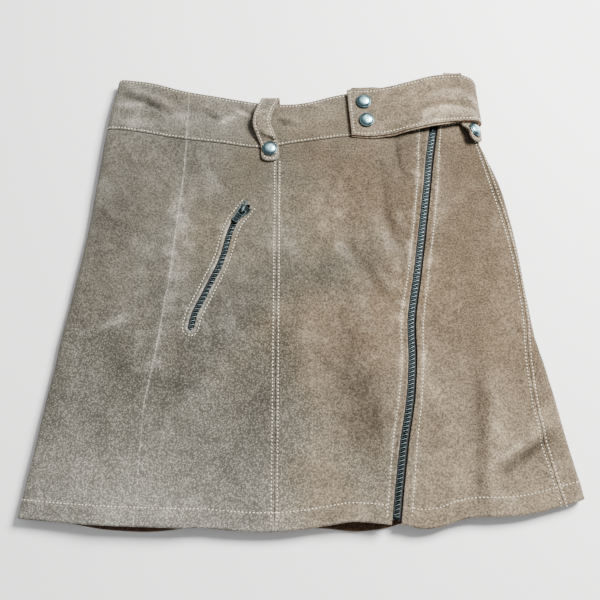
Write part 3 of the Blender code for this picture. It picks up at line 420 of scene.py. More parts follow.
class StitchSettings(bpy.types.PropertyGroup):
    """The topstitching thread."""

    thread: colour("Thread", "Colour of the thread", (0.76, 0.70, 0.56))
    pitch: length("Pitch", "From one stitch to the next", 2.9, 0.5)
    stitch: length("Stitch", "Length of the thread that shows in each stitch", 1.75, 0.3)
    thickness: length("Thickness", "Thickness of the thread", 0.86, 0.05)


class ZipSettings(bpy.types.PropertyGroup):
    """The teeth and tapes of both zips."""

    teeth: colour("Teeth", "Colour of the metal", (0.13, 0.175, 0.185))
    tape: colour("Tape", "Colour of the woven tape", (0.012, 0.013, 0.014))
    pitch: length("Pitch", "From one tooth to the next on the other side", 1.7, 0.4)


class SnapSettings(bpy.types.PropertyGroup):
    """The snap caps."""

    metal: colour("Metal", "Colour of the caps", (0.40, 0.66, 0.73))


class StageSettings(bpy.types.PropertyGroup):
    """Floor, light and camera."""

    floor: colour("Floor", "Colour of the floor", (0.93, 0.93, 0.93))
    key: amount("Key light", "Power of the main light in watts", 75.0)
    sky: amount("Sky", "Strength of the light from all round", 0.5)
    lens: amount("Lens", "Focal length in millimetres", 48.0, min=1.0, subtype="DISTANCE_CAMERA")


class SkirtSettings(bpy.types.PropertyGroup):
    """All settings of the skirt."""

    suede: bpy.props.PointerProperty(type=SuedeSettings)
    stitches: bpy.props.PointerProperty(type=StitchSettings)
    zips: bpy.props.PointerProperty(type=ZipSettings)
    snaps: bpy.props.PointerProperty(type=SnapSettings)
    stage: bpy.props.PointerProperty(type=StageSettings)


def settings():
    return bpy.context.scene.suede_skirt


# ---------------------------------------------------------------- small helpers


def smooth_step(value):
    value = np.clip(value, 0.0, 1.0)
    return value * value * (3 - 2 * value)


def ramp(value, ends):
    """0 before the first end, 1 after the second, and a smooth rise between them."""
    return smooth_step((value - ends[0]) / (ends[1] - ends[0]))


def hump(distance, width):
    """A bell that is 1 at no distance."""
    return np.exp(-((distance / width) ** 2))


def together(*parts):
    """Vectors from their parts along each axis."""
    return np.stack(np.broadcast_arrays(*parts), axis=-1)


def unit(vectors):
    return vectors / np.linalg.norm(vectors, axis=-1, keepdims=True)


def nearest(*distances):
    """The smallest of several distances, place by place."""
    return np.min(np.broadcast_arrays(*distances), axis=0)


def slope_of(x_of_y, y):
    """How far a line up the garment goes to the right, per length up."""
    return x_of_y(y + 0.5) - x_of_y(y - 0.5)


def on_line(x, y, x0, y0, x1, y1):
    """Length along a line from its start, distance to the left of it, and its whole length."""
    reach = np.hypot(x1 - x0, y1 - y0)
    east, north = (x1 - x0) / reach, (y1 - y0) / reach
    return (x - x0) * east + (y - y0) * north, (y - y0) * east - (x - x0) * north, reach


def between(path, steps):
    """Points of a path at fractional steps along its rows."""
    return together(*(np.interp(steps, np.arange(len(path)), part) for part in path.T))


def rounded(away, radius):
    """How far a quarter round of this radius has dropped, by distance from the edge."""
    inside = np.clip(radius - away, 0.0, radius)
    return radius - np.sqrt(np.maximum(radius**2 - inside**2, 0.0))


def unevenness(points, cell, seed):
    """A smooth random field from -1 to 1: seeded values on a lattice, blended by smooth steps."""
    lattice = np.random.default_rng(seed).uniform(-1, 1, (97, 89, 31))
    place = points / cell
    low = np.floor(place).astype(int)
    share = smooth_step(place - low)
    total = np.zeros(points.shape[:-1])
    for corner in np.ndindex(2, 2, 2):
        weight = np.prod(np.where(corner, share, 1 - share), axis=-1)
        i, j, k = np.moveaxis((low + corner) % lattice.shape, -1, 0)
        total += weight * lattice[i, j, k]
    return total


# ---------------------------------------------------------------- the form of the cloth


def fold_relief(x, y):
    """Sum of the large folds: each a bell of the distance from its line, times its rise."""
    relief = np.zeros(np.broadcast(x, y).shape)
    for x0, y0, x1, y1, rise, width in FOLDS.rows:
        along, aside, reach = on_line(x, y, x0, y0, x1, y1)
        beyond = along - np.clip(along, 0.0, reach)
        relief += rise * hump(np.hypot(beyond, aside), width)
    return relief


def crease_relief(creases, x, y):
    """Sum of finer creases: a trough across a bowed line with a lip on one side, faded at its ends."""
    relief = np.zeros(np.broadcast(x, y).shape)
    for x0, y0, x1, y1, bow, depth, width, lip in creases.rows:
        along, aside, reach = on_line(x, y, x0, y0, x1, y1)
        share = np.clip(along / reach, 0, 1)
        aside = aside - 4 * bow * share * (1 - share)
        fade = smooth_step((0.62 - np.abs(along / reach - 0.5)) / 0.3)
        relief += fade * (lip * hump(aside - 1.7 * width, 1.1 * width) - depth * hump(aside, width))
    return relief


def patch_shade(x, y):
    """Sum of the patches of nap and of painted shade: each a bell of the distance from its middle in its own
    turned axes.
    """
    shade = np.zeros(np.broadcast(x, y).shape)
    for x0, y0, half_width, half_height, turn, value in NAP_AND_SHADE_PATCHES.rows:
        east, north = np.cos(np.radians(turn)), np.sin(np.radians(turn))
        along = ((x - x0) * east + (y - y0) * north) / half_width
        aside = ((y - y0) * east - (x - x0) * north) / half_height
        shade += value * np.exp(-(along**2 + aside**2))
    return shade


def held_flat(x, y):
    """1 where the cloth is free, falling to 0 where something holds it down."""
    free = 1.0
    for x0, y0, half_width, half_height in HELD.rows:
        free = free * (1 - np.exp(-((((x - x0) / half_width) ** 2 + ((y - y0) / half_height) ** 2) ** 2)))
    return free


class Tube:
    """A flattened tube: a front, an underside, and a round fold at each side."""

    EDGE_BLEND = 20.0  # folds and creases fade out this close to the side folds

    def left(self, y):
        return OUTLINE.read("left", y)

    def right(self, y):
        return OUTLINE.read("right", y)

    def side(self, y):
        return LOFT.read("side", y)

    def under(self, x, y):
        """The back layer lies on the surface, and rises over the belt tab's sewn end."""
        return BACK_RISE * ramp(x, BACK_RISE_X) * ramp(y, BACK_RISE_Y)

    def folds(self, y):
        """Ends of the flat stretch between the side folds, and the radius of each fold."""
        left, right, side = self.left(y), self.right(y), self.side(y)
        radius_left = (side - self.under(left, y)) / 2
        radius_right = (side - self.under(right, y)) / 2
        return left + radius_left, right - radius_right, radius_left, radius_right

    def top(self, x, y):
        """Height of the front's outer face: the side folds' height, a crown between them, and the folds."""
        start, end, _, _ = self.folds(y)
        share = np.clip((x - start) / (end - start), 0.0, 1.0)
        crown = LOFT.read("crown", y) * (1 - np.abs(2 * share - 1) ** 4)
        inside = smooth_step(np.minimum(x - start, end - x) / self.EDGE_BLEND)
        return self.side(y) + crown + fold_relief(x, y) * inside

    def flat_x(self, lap, y):
        """x of a lap, and the angles turned through at the right and the left fold."""
        start, end, radius_left, radius_right = self.folds(y)
        flat = start + (end - start) * (np.clip(lap, 0, 1) - np.clip(lap - 2, 0, 1) - np.clip(lap + 1, -1, 0))
        turn_right = np.pi * np.clip(lap - 1, 0, 1)
        turn_left = np.pi * np.clip(-lap, 0, 1)
        x = flat + radius_right * np.sin(turn_right) - radius_left * np.sin(turn_left)
        return x, flat, turn_right, turn_left

    def skin(self, lap, y):
        """Point and outward direction on the outer face.

        lap is 0 to 1 across the front from the left fold, 1 to 2 round the right fold, 2 to 3 back along
        the underside, and the other way -1 to 0 round the left fold and -2 to -1 along the underside.
        """
        x, flat, turn_right, turn_left = self.flat_x(lap, y)
        level = np.cos(turn_right + turn_left)
        top, under = self.top(flat, y), self.under(flat, y)
        z = (top + under) / 2 + (top - under) / 2 * level
        point = together(x, y, z)
        outward = together(np.sin(turn_right) - np.sin(turn_left), 0.0, level)
        return point, outward

    def lap_of(self, x, y):
        """Where the front, or the upper half of the right fold, is at x."""
        start, end, _, radius = self.folds(y)
        round_fold = 1 + np.arcsin(np.clip((x - end) / radius, 0, 1)) / np.pi
        return np.where(x > end, round_fold, (x - start) / (end - start))

    def lap_of_back(self, x, y):
        """Where the underside is at x, counted from the left fold."""
        start, end, _, _ = self.folds(y)
        return -1 - (x - start) / (end - start)

    def girth_of(self, lap, y):
        """Length round the tube from the upper end of the left fold."""
        start, end, radius_left, radius_right = self.folds(y)
        level_laps = np.clip(lap, 0, 1) + np.clip(lap - 2, 0, 1) + np.clip(lap + 1, -1, 0)
        round_right, round_left = np.clip(lap - 1, 0, 1), np.clip(lap, -1, 0)
        return (end - start) * level_laps + np.pi * (radius_right * round_right + radius_left * round_left)

    def lap_at(self, girth, y):
        """The lap that has this girth."""
        start, end, radius_left, radius_right = self.folds(y)
        flat, round_right, round_left = end - start, np.pi * radius_right, np.pi * radius_left
        return (
            np.clip(girth / flat, 0, 1)
            + np.clip((girth - flat) / round_right, 0, 1)
            + np.clip((girth - flat - round_right) / flat, 0, 1)
            + np.clip(girth / round_left, -1, 0)
            + np.clip((girth + round_left) / flat, -1, 0)
        )

    def whole_girth(self, y):
        start, end, radius_left, radius_right = self.folds(y)
        return 2 * (end - start) + np.pi * (radius_left + radius_right)


class TabTube(Tube):
    """The form that the belt tab follows: over the band's front, round the right fold and under."""

    def right(self, y):
        return TAB_FOLD.read("right", y)

    def side(self, y):
        return LOFT.read("side", y) + TAB_LIFT.column("lift")[-1] + TAB_PACK

    def under(self, x, y):
        return 0.0 * (x + y)

    def top(self, x, y):
        return Tube.top(GARMENT, x, y) + TAB_LIFT.read("lift", x) + TAB_PACK

    def lap_of_run(self, run, y):
        """Where the tab is after `run`: x on the front, and from the fold on the length along it."""
        start, end, _, radius = self.folds(y)
        arc = np.pi * radius
        front = (run - start) / (end - start)
        fold = 1 + (run - end) / arc
        back = 2 + (run - end - arc) / (end - start)
        return np.where(run < end, front, np.where(run < end + arc, fold, back))


GARMENT = Tube()
TAB = TabTube()


def share_across(x, y):
    left, right = GARMENT.left(y), GARMENT.right(y)
    return np.clip((x - left) / (right - left), 0.0, 1.0)


def share_at(lap, y):
    return share_across(GARMENT.flat_x(lap, y)[0], y)


def waist_line(share, _):
    return BAND_LINES.read("waist", share)


def band_seam_line(share, _):
    return BAND_LINES.read("seam", share)


def hem_line(share, lap):
    """The front's hem, the back's hem, and a smooth change between them round each side fold."""
    back = smooth_step(np.maximum(np.minimum(lap - 1, 1), np.minimum(-lap, 1)))
    return HEM_LINES.read("front", share) * (1 - back) + HEM_LINES.read("back", share) * back


def soft_relief(point, level):
    """The cloth's own unevenness and creases along its outward direction, and the wear_and_shading they give:
    painted shade in the troughs of creases and folds, painted highlight on their ridges and lips, and tone.

    Three sizes of random unevenness are added to the creases. The underside only goes inwards, so that
    it stays on the surface that it lies on.
    """
    height = settings().suede.rumple / MILLIMETRE
    x, y = point[..., 0], point[..., 1]
    stretched = point * (1, 1, 4)
    coarse = unevenness(stretched, cell=42.0, seed=3)
    middle = unevenness(stretched, cell=17.0, seed=4)
    fine = unevenness(stretched, cell=6.5, seed=5)
    random = height * (coarse + 0.5 * middle + 0.2 * fine)
    above, below = smooth_step(level), smooth_step(-level)
    creases = above * crease_relief(FRONT_CREASES, x, y) + below * crease_relief(BACK_CREASES, x, y)
    free = above * held_flat(x, y) + (1 - above)
    relief = free * (random + creases) - below * 1.7 * height
    # painted shade in the troughs of creases and folds and painted highlight on their ridges and lips; the
    # patches add nap tone and painted shade
    wear_and_shading = 0.5 * creases * free + above * (0.08 * fold_relief(x, y) + patch_shade(x, y))
    wear_and_shading = wear_and_shading + 0.14 * middle + 0.10 * fine
    return relief, wear_and_shading


def front_height(x, y):
    """Height of the front's outer face with its soft relief, before any sewing."""
    point = together(x, y, GARMENT.top(x, y))
    return point[..., 2] + soft_relief(point, 1.0)[0]


# ---------------------------------------------------------------- what the sewing does to the cloth


def zip_x(y):
    return SEAMS.read("zip", y)


def pocket_x(y):
    return POCKET_LINE.read("x", y)


def girth_at_x(x, y):
    return GARMENT.girth_of(GARMENT.lap_of(x + 0 * y, y), y)


def seam_girth(name, y, gap=0.0):
    """Girth of a seam of the front, moved off it by a gap."""
    return girth_at_x(SEAMS.read(name, y) + gap, y)


def under_seam_girth(y, gap=0.0):
    """Girth of the left side seam, which is on the underside."""
    return GARMENT.girth_of(GARMENT.lap_of_back(GARMENT.left(y) + SIDE_SEAM_UNDER + gap, y), y)


def from_pocket_zip(x, y):
    """Distance from the middle line of the pocket zip's slot, whose ends are round."""
    slope = slope_of(pocket_x, y)
    foot = y + (x - pocket_x(y)) * slope / (1 + slope**2)
    foot = np.clip(foot, SLOT_FOOT_Y + SLOT_HALF_WIDTH, SLOT_TOP_Y - SLOT_HALF_WIDTH)
    return np.hypot(x - pocket_x(foot), y - foot)


def pucker(along, beside, reach, seed):
    """Short ripples across a row of stitches, uneven along it and faded within `reach` of it."""
    place = together(along, 0.0, 0.0)
    fine, broad = unevenness(place, 4.6, seed), unevenness(place, 9.0, seed + 1)
    return (fine + 0.6 * broad) * hump(beside, reach)


def sewn_relief(girth, lap, y, x, thickness):
    """Rise of the outer face and drop of the inner one from seams, folded edges and stitching, and their
    wear_and_shading: painted shade in seams, dips and stitched troughs, painted highlight on swells, puckers
    and ridges.

    The cloth turns down into a seam on a quarter round, and a folded edge is round on both faces. Each
    row of stitches lies in a narrow trough, and puckers the cloth. Double rows leave a swell between
    them and the seam. The band lies over the panels' upper edges.
    """
    whole = GARMENT.whole_girth(y)

    def off(line):
        """Distance along the girth from a line, the short way round."""
        return np.mod(girth - line + whole / 2, whole) - whole / 2

    share = share_across(x, y)
    front = (lap > -0.5) & (lap < 1.5)
    band_y = band_seam_line(share, lap)
    in_band = y > band_y
    from_left, from_side = off(seam_girth("left_seam", y)), off(seam_girth("side_seam", y))
    from_under = off(under_seam_girth(y))
    from_centre = np.where(in_band, FAR, off(girth_at_x(CENTRE_SEAM_X, y)))
    from_band = y - band_y
    from_waist = waist_line(share, lap) - y
    from_hem = y - hem_line(share, lap)
    beside_zip = np.where(front, x - zip_x(y), FAR)
    left_of_zip = beside_zip < 0
    zip_away = np.where(left_of_zip, -beside_zip - ZIP_EDGE_LEFT, beside_zip - ZIP_EDGE_RIGHT)
    from_slot = np.where(front, from_pocket_zip(x, y), FAR)
    slot_away = np.maximum(from_slot - SLOT_HALF_WIDTH, 0.0)

    doubled = nearest(np.abs(from_centre), np.abs(from_side), np.abs(from_under))
    seams = nearest(doubled, np.abs(from_left), np.abs(from_band))
    edges = np.maximum(nearest(from_waist, from_hem, zip_away, slot_away), 0.0)

    nose = rounded(edges, 0.49 * thickness)
    outer = -np.maximum(SEAM_DEPTH * rounded(seams, SEAM_ROUND), nose)
    outer = outer - BAND_STEP * ~in_band * np.exp(-np.abs(from_band) / 1.5)

    zip_row = ZIP_ROWS.read("left", y) * left_of_zip + ZIP_ROWS.read("right", y) * ~left_of_zip
    beside_row = np.abs(beside_zip) - zip_row
    rows = [
        (doubled - SEAM_ROW, y, 5.0),
        (beside_row, y, 6.0),
        (from_hem - HEM_ROW, girth, 7.0),
        (from_waist - WAIST_ROW, girth, 5.0),
        (np.where(in_band, from_band - BAND_FOOT_ROW, FAR), girth, 5.0),
        (np.where(y < SLOT_TOP_Y + 3, from_slot - POCKET_ROW, FAR), y, 4.0),
    ]
    puckers = 0.0
    for number, (beside, along, reach) in enumerate(rows):
        outer = outer - TROUGH_DEPTH * hump(beside, TROUGH_WIDTH)
        puckers = puckers + PUCKER_HEIGHT * pucker(along, beside, reach, 20 + 2 * number)
    flat_on_top = smooth_step(edges / 2.5) * smooth_step(seams / 1.2)
    outer = outer + puckers * flat_on_top
    swell = hump(doubled - 1.2, 0.8) + hump(edges - 1.3, 1.0) + hump(slot_away - 1.6, 1.2) * front
    turned = ramp(from_hem, (HEM_TURN + 1.0, HEM_TURN - 1.0)) * smooth_step(edges / 2)
    turned = turned + hump(np.where(in_band, FAR, from_band) + 1.8, 1.4)
    outer = outer + SWELL_HEIGHT * swell + TURNED_HEIGHT * turned

    shades = [  # paler (+) or darker (-) lines: distance from the line, its half width and shade; mostly painted highlight on raised lines and painted shade in low ones
        (doubled - 1.2, 0.8, 0.25),  # painted highlight on the swells beside the seams
        # painted shade in the seam between the double rows
        (doubled, 0.4, -0.2),
        (from_band, 0.4, -0.8),  # the shadow under the band's foot
        (from_left, 0.8, 0.6),  # the left seam is rubbed
        (np.where(front, slot_away - 1.2, FAR), 1.3, 0.32),  # the pocket's lips
        (beside_row, 1.8, 0.4),  # painted highlight on the ridge along the slanted zip, and painted shade in the dip between it and the zip
        (beside_row + 3.4, 1.2, -0.25),
        # painted shade in the trough under each row of stitches
        *((beside, GROOVE_WIDTH, -0.35) for beside, _, _ in rows),
    ]
    # paler edges, and painted highlight and painted shade on the puckers
    wear_and_shading = 0.45 * np.exp(-edges) + 0.6 * puckers
    for distance, width, shade in shades:
        wear_and_shading = wear_and_shading + shade * hump(distance, width)
    return outer, nose, wear_and_shading


def cloth_thickness(lap, y, x):
    """One layer, two in the band and in the turned hem, and one again beside the slanted zip."""
    share = share_across(x, y)
    on_front = (lap > 0) & (lap < 1)
    clear = np.where(on_front, ramp(np.abs(x - zip_x(y)), (TAPE_CLEAR, TAPE_CLEAR + 0.8)), 1.0)
    band = y > band_seam_line(share, lap)
    hem = ramp(y - hem_line(share, lap), (HEM_TURN + 0.5, HEM_TURN - 0.5))
    return SUEDE + clear * np.where(band, BAND_LAYERS - SUEDE, SUEDE * hem)


def dressed(girth, y):
    """Outer face, inner face, outward direction and wear_and_shading of the cloth at these places: real wear
    and tone, with painted shade and painted highlights.
    """
    lap = GARMENT.lap_at(girth, y)
    point, outward = GARMENT.skin(lap, y)
    x = point[..., 0]
    soft, soft_wear_and_shading = soft_relief(point, outward[..., 2])
    thickness = cloth_thickness(lap, y, x)
    sewn, nose, sewn_wear_and_shading = sewn_relief(girth, lap, y, x, thickness)
    outer = point + outward * (soft + sewn)[..., None]
    inner = point + outward * (soft - thickness + nose)[..., None]
    return outer, inner, outward, soft_wear_and_shading + sewn_wear_and_shading


# ---------------------------------------------------------------- materials


class Finish:
    """A material and short ways to add its nodes."""

    def __init__(self, name, roughness, metallic=0.0):
        self.material = bpy.data.materials.new(f"{name}_look")
        self.material.use_nodes = True
        self.tree = self.material.node_tree
        self.shader = self.tree.nodes["Principled BSDF"]
        self.shader.inputs["Roughness"].default_value = roughness
        self.shader.inputs["Metallic"].default_value = metallic
        self.place = self.node("ShaderNodeTexCoord").outputs["Object"]

    def node(self, kind, inputs=None, **options):
        made = self.tree.nodes.new(kind)
        for key, value in options.items():
            setattr(made, key, value)
        for socket, value in (inputs or {}).items():
            self.put(made.inputs[socket], value)
        return made

    def put(self, socket, value):
        if isinstance(value, bpy.types.NodeSocket):
            self.tree.links.new(value, socket)
        else:
            socket.default_value = value

    def noise(self, size_mm, detail=2.0, place=None, rough=0.5):
        """Noise whose features are about this size."""
        inputs = {
            "Vector": place or self.place,
            "Scale": 1.0 / (size_mm * MILLIMETRE),
            "Detail": detail,
            "Roughness": rough,
        }
        return self.node("ShaderNodeTexNoise", inputs).outputs["Fac"]

    def waves(self, turn, scale, distortion, direction):
        """Parallel bands across a direction that is turned about Z."""
        inputs = {"Vector": self.along(turn, (1.0, 1.0, 1.0)), "Scale": scale, "Distortion": distortion}
        return self.node("ShaderNodeTexWave", inputs, bands_direction=direction).outputs["Fac"]

    def wear_and_shading(self):
        """The wear_and_shading worked out with the surface: real wear and tone, with painted shade and
        painted highlights.
        """
        return self.node("ShaderNodeAttribute", attribute_name="wear_and_shading").outputs["Fac"]

    def spread(self, value, low, high, to_low, to_high):
        """The value carried from one range to another by a smooth step."""
        inputs = {"Value": value, "From Min": low, "From Max": high, "To Min": to_low, "To Max": to_high}
        return self.node("ShaderNodeMapRange", inputs, interpolation_type="SMOOTHSTEP").outputs["Result"]

    def about(self, noise, to_low, to_high):
        """A noise's usual range carried to another range."""
        return self.spread(noise, 0.3, 0.7, to_low, to_high)

    def sum_of(self, first, second):
        return self.node("ShaderNodeMath", {0: first, 1: second}, operation="ADD").outputs[0]

    def product(self, first, second):
        return self.node("ShaderNodeMath", {0: first, 1: second}, operation="MULTIPLY").outputs[0]

    def mix(self, factor, first, second):
        """Mix of two numbers."""
        return self.node("ShaderNodeMix", {0: factor, 2: first, 3: second}).outputs[0]

    def blend(self, factor, first, second):
        """Mix of two colours."""
        mix = self.node("ShaderNodeMix", data_type="RGBA", blend_type="MIX", clamp_factor=True)
        for socket, value in ((mix.inputs[0], factor), (mix.inputs[6], first), (mix.inputs[7], second)):
            self.put(socket, value)
        return mix.outputs[2]

    def scaled(self, tint, factor):
        """A colour, or the red, green and blue of one, times a number."""
        tint = tint if isinstance(tint, bpy.types.NodeSocket) else tint[:3]
        return self.node("ShaderNodeVectorMath", {0: tint, "Scale": factor}, operation="SCALE").outputs[0]

    def along(self, turn, stretch):
        """Object coordinates for a grain that is turned about Z and then so many times longer each way."""
        inputs = {"Vector": self.place, "Rotation": (0.0, 0.0, turn), "Scale": stretch}
        return self.node("ShaderNodeMapping", inputs, vector_type="TEXTURE").outputs["Vector"]

    def finish(self, tint, height, depth_mm, strength=1.0):
        """Puts the colour and the bump on the shader."""
        self.put(self.shader.inputs["Base Color"], tint)
        inputs = {"Height": height, "Distance": depth_mm * MILLIMETRE, "Strength": strength}
        bump = self.node("ShaderNodeBump", inputs)
        self.put(self.shader.inputs["Normal"], bump.outputs["Normal"])
        return self.material

    def fibres(self, tint, specular, size, shades, depth, strength):
        """Short rough fibres of one size, whose colour lies between two shades of the tint."""
        fibres = self.noise(size, detail=3.0)
        self.shader.inputs["Specular IOR Level"].default_value = specular
        return self.finish(self.scaled(opaque(tint), self.about(fibres, *shades)), fibres, depth, strength)


def opaque(tint):
    return (*tint, 1.0)


def suede_finish():
    """Suede: cool to warm across, cloudy, blotched and flecked where the nap lies in different ways.

    Clouds of two sizes and a fine grain scale the colour. The nap is brushed paler in broad streaks, on
    the band and low on the cool side. Low down the grain turns into small slanted lumps whose middles
    are pale specks, more weakly on the warm side. The wear_and_shading attribute, worked out with each
    surface and broken up by the blotches, makes ridges and edges paler and grooves darker: mostly
    painted highlight and painted shade, partly real wear.
    """
    suede = settings().suede
    grain = suede.grain / MILLIMETRE
    finish = Finish("suede", roughness=0.96)
    x, y, _ = finish.node("ShaderNodeSeparateXYZ", {0: finish.place}).outputs
    drift = finish.noise(90, detail=3.0)
    warmth = finish.spread(finish.sum_of(x, finish.about(drift, -0.07, 0.07)), -0.13, 0.13, 0.0, 1.0)
    tint = finish.blend(warmth, opaque(suede.cool), opaque(suede.warm))
    pale = finish.blend(warmth, opaque(suede.pale_cool), opaque(suede.pale_warm))
    on_band = finish.spread(y, 0.11, 0.14, 0.0, 0.8)
    warmer = finish.product(on_band, finish.spread(warmth, 0.0, 0.2, 0.1, 1.0))
    pale = finish.blend(warmer, pale, opaque(suede.pale_warm))
    low = finish.sum_of(y, finish.about(drift, 0.04, -0.04))
    greyed = finish.spread(low, -0.03, -0.21, 0.0, 0.6)
    tint = finish.blend(finish.product(greyed, finish.spread(warmth, 0, 1, 1.0, 0.5)), tint, pale)
    tint = finish.blend(finish.spread(y, 0.125, 0.15, 0.0, 0.14), tint, pale)
    brushed = finish.noise(26, detail=4.0, place=finish.along(0.5, (1.0, 1.7, 1.0)), rough=0.6)
    tint = finish.blend(finish.spread(brushed, 0.54, 0.75, 0.0, 0.28), tint, pale)

    clouds = finish.about(finish.noise(60, detail=3.0), 0.82, 1.16)
    clouds = finish.product(clouds, finish.spread(y, -0.02, 0.13, 1.02, 0.82))
    blotches = finish.noise(13, detail=4.0, rough=0.65)
    mottle = finish.about(blotches, 0.84, 1.15)
    even = finish.noise(grain, detail=3.0, rough=0.7)
    slanted = {"Vector": finish.along(0.8, (1.35, 0.8, 1.0)), "Scale": 1.0 / (0.92 * grain * MILLIMETRE)}
    cells = finish.node("ShaderNodeTexVoronoi", slanted).outputs["Distance"]
    lumpy = finish.mix(0.6, even, finish.spread(cells, 0.1, 0.62, 0.76, 0.24))
    low_down = finish.spread(y, 0.08, -0.08, 0.0, 0.8)
    nap = finish.mix(finish.product(low_down, finish.spread(warmth, 0.5, 1.0, 1.0, 0.35)), even, lumpy)
    flecks = finish.spread(nap, 0.32, 0.70, 0.45, 1.65)
    # painted highlight where wear_and_shading is positive and painted shade where it is negative, partly real
    # wear, broken up by the blotches
    wear_and_shading = finish.product(finish.wear_and_shading(), finish.spread(blotches, 0.35, 0.65, 0.7, 1.3))
    tint = finish.blend(finish.spread(wear_and_shading, 0.0, 0.9, 0.0, 0.85), tint, pale)
    for factor in (clouds, mottle, flecks):
        tint = finish.scaled(tint, factor)
    specks = finish.spread(cells, 0.28, 0.04, 0.0, 0.42)
    specks = finish.product(specks, finish.spread(warmth, 0.5, 1.0, 1.0, 0.5))
    tint = finish.blend(specks, tint, pale)
    # painted shade, down to 0.36 times, in grooves, troughs and under the band
    tint = finish.scaled(tint, finish.spread(wear_and_shading, -0.9, 0.05, 0.36, 1.0))

    height = finish.sum_of(nap, finish.product(specks, 0.4))
    sheen = {"Specular IOR Level": 0.12, "Sheen Weight": 0.2, "Sheen Roughness": 0.5}
    for socket, value in {**sheen, "Sheen Tint": (0.9, 0.86, 0.8, 1.0)}.items():
        finish.put(finish.shader.inputs[socket], value)
    return finish.finish(tint, height, depth_mm=0.7, strength=0.9)


def flesh_finish():
    """The inside of the suede: dark brown."""
    finish = Finish("suede_inside", roughness=0.98)
    tint = settings().suede.flesh
    return finish.fibres(tint, specular=0.1, size=1.6, shades=(0.6, 1.5), depth=0.4, strength=0.7)


def cut_edge_finish():
    """A raw edge of suede: orange-brown, with finer fibres."""
    finish = Finish("suede_cut_edge", roughness=0.9)
    tint = settings().suede.cut_edge
    return finish.fibres(tint, specular=0.15, size=0.9, shades=(0.7, 1.35), depth=0.2, strength=0.6)


def thread_finish():
    """Waxed cotton thread: cream, twisted, a little soiled."""
    finish = Finish("thread", roughness=0.7)
    twist = finish.waves(turn=0.6, scale=1400.0, distortion=1.0, direction="DIAGONAL")
    soil = finish.about(finish.noise(6, detail=2.0), 0.72, 1.12)
    tint = finish.scaled(opaque(settings().stitches.thread), soil)
    tint = finish.scaled(tint, finish.spread(twist, 0.0, 1.0, 0.85, 1.05))
    return finish.finish(tint, twist, depth_mm=0.08, strength=0.6)


def tape_finish():
    """Woven zip tape: two sets of slanted ribs that cross, nearly black."""
    finish = Finish("zip_tape", roughness=0.85)
    ribs = (finish.waves(turn, scale=420.0, distortion=0.4, direction="X") for turn in (0.65, -0.65))
    weave = finish.product(*ribs)
    tint = finish.scaled(opaque(settings().zips.tape), finish.spread(weave, 0.0, 1.0, 0.6, 2.2))
    return finish.finish(tint, weave, depth_mm=0.12, strength=0.8)


def metal_finish(name, tint, roughness, tarnish, painted_shade, painted_light):
    """Plated metal with painted highlights and painted shade: its colour and gloss drift, with fine
    scratches.

    The wear_and_shading attribute scales the colour, from `painted_shade` where it is 0 to `painted_light`
    where it is 1.
    """
    finish = Finish(name, roughness, 1.0)
    clouds = finish.noise(4, detail=3.0)
    shade = finish.scaled(tint, finish.about(clouds, 1 - tarnish, 1 + tarnish))
    # painted shade where wear_and_shading is 0 and painted highlight where it is 1
    shade = finish.scaled(shade, finish.spread(finish.wear_and_shading(), 0.0, 1.0, painted_shade, painted_light))
    scratches = finish.noise(0.5, detail=2.0, place=finish.along(0.4, (1.0, 6.0, 1.0)))
    gloss = finish.about(clouds, roughness * 0.8, roughness * 1.25)
    finish.put(finish.shader.inputs["Roughness"], gloss)
    return finish.finish(shade, scratches, depth_mm=0.02, strength=0.35)


FINISHES = {
    "suede": suede_finish,
    "suede_inside": flesh_finish,
    "suede_cut_edge": cut_edge_finish,
    "thread": thread_finish,
    "zip_tape": tape_finish,
    "zip_metal": lambda: metal_finish(
        "zip_metal", settings().zips.teeth, roughness=0.5, tarnish=0.2, painted_shade=0.12, painted_light=2.2
    ),
    "snap_metal": lambda: metal_finish(
        "snap_metal", settings().snaps.metal, roughness=0.32, tarnish=0.12, painted_shade=0.2, painted_light=1.35
    ),
}


def finish_of(name):
    """The finished material of this name, made once."""
    return bpy.data.materials.get(f"{name}_look") or FINISHES[name]()


# ---------------------------------------------------------------- making pieces


def add_piece(name, points, faces, finishes, face_finish=None, wear_and_shading=None, sharp=None):
    """A mesh object from points in millimetres, with its finishes and its wear_and_shading attribute of
    painted shade, painted highlights and real wear.
    """
    mesh = bpy.data.meshes.new(name)
    mesh.from_pydata((np.asarray(points) * MILLIMETRE).tolist(), [], faces)
    for finish in finishes:
        mesh.materials.append(finish_of(finish))
    if face_finish is not None:
        mesh.polygons.foreach_set("material_index", np.asarray(face_finish, np.int32))
    if wear_and_shading is not None:
        attribute = mesh.attributes.new("wear_and_shading", "FLOAT", "POINT")
        attribute.data.foreach_set("value", np.asarray(wear_and_shading, np.float32))
    mesh.shade_smooth()
    if sharp is not None:
        mesh.set_sharp_from_angle(angle=np.radians(sharp))
    made = bpy.data.objects.new(name, mesh)
    bpy.context.scene.collection.objects.link(made)
    return made


def belongs(piece, slot, *nodes, body="skirt"):
    """The piece moves with a body and stands for these nodes, which it hides; slot is not used."""
    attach(piece, body)
    if nodes:
        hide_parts(*nodes)


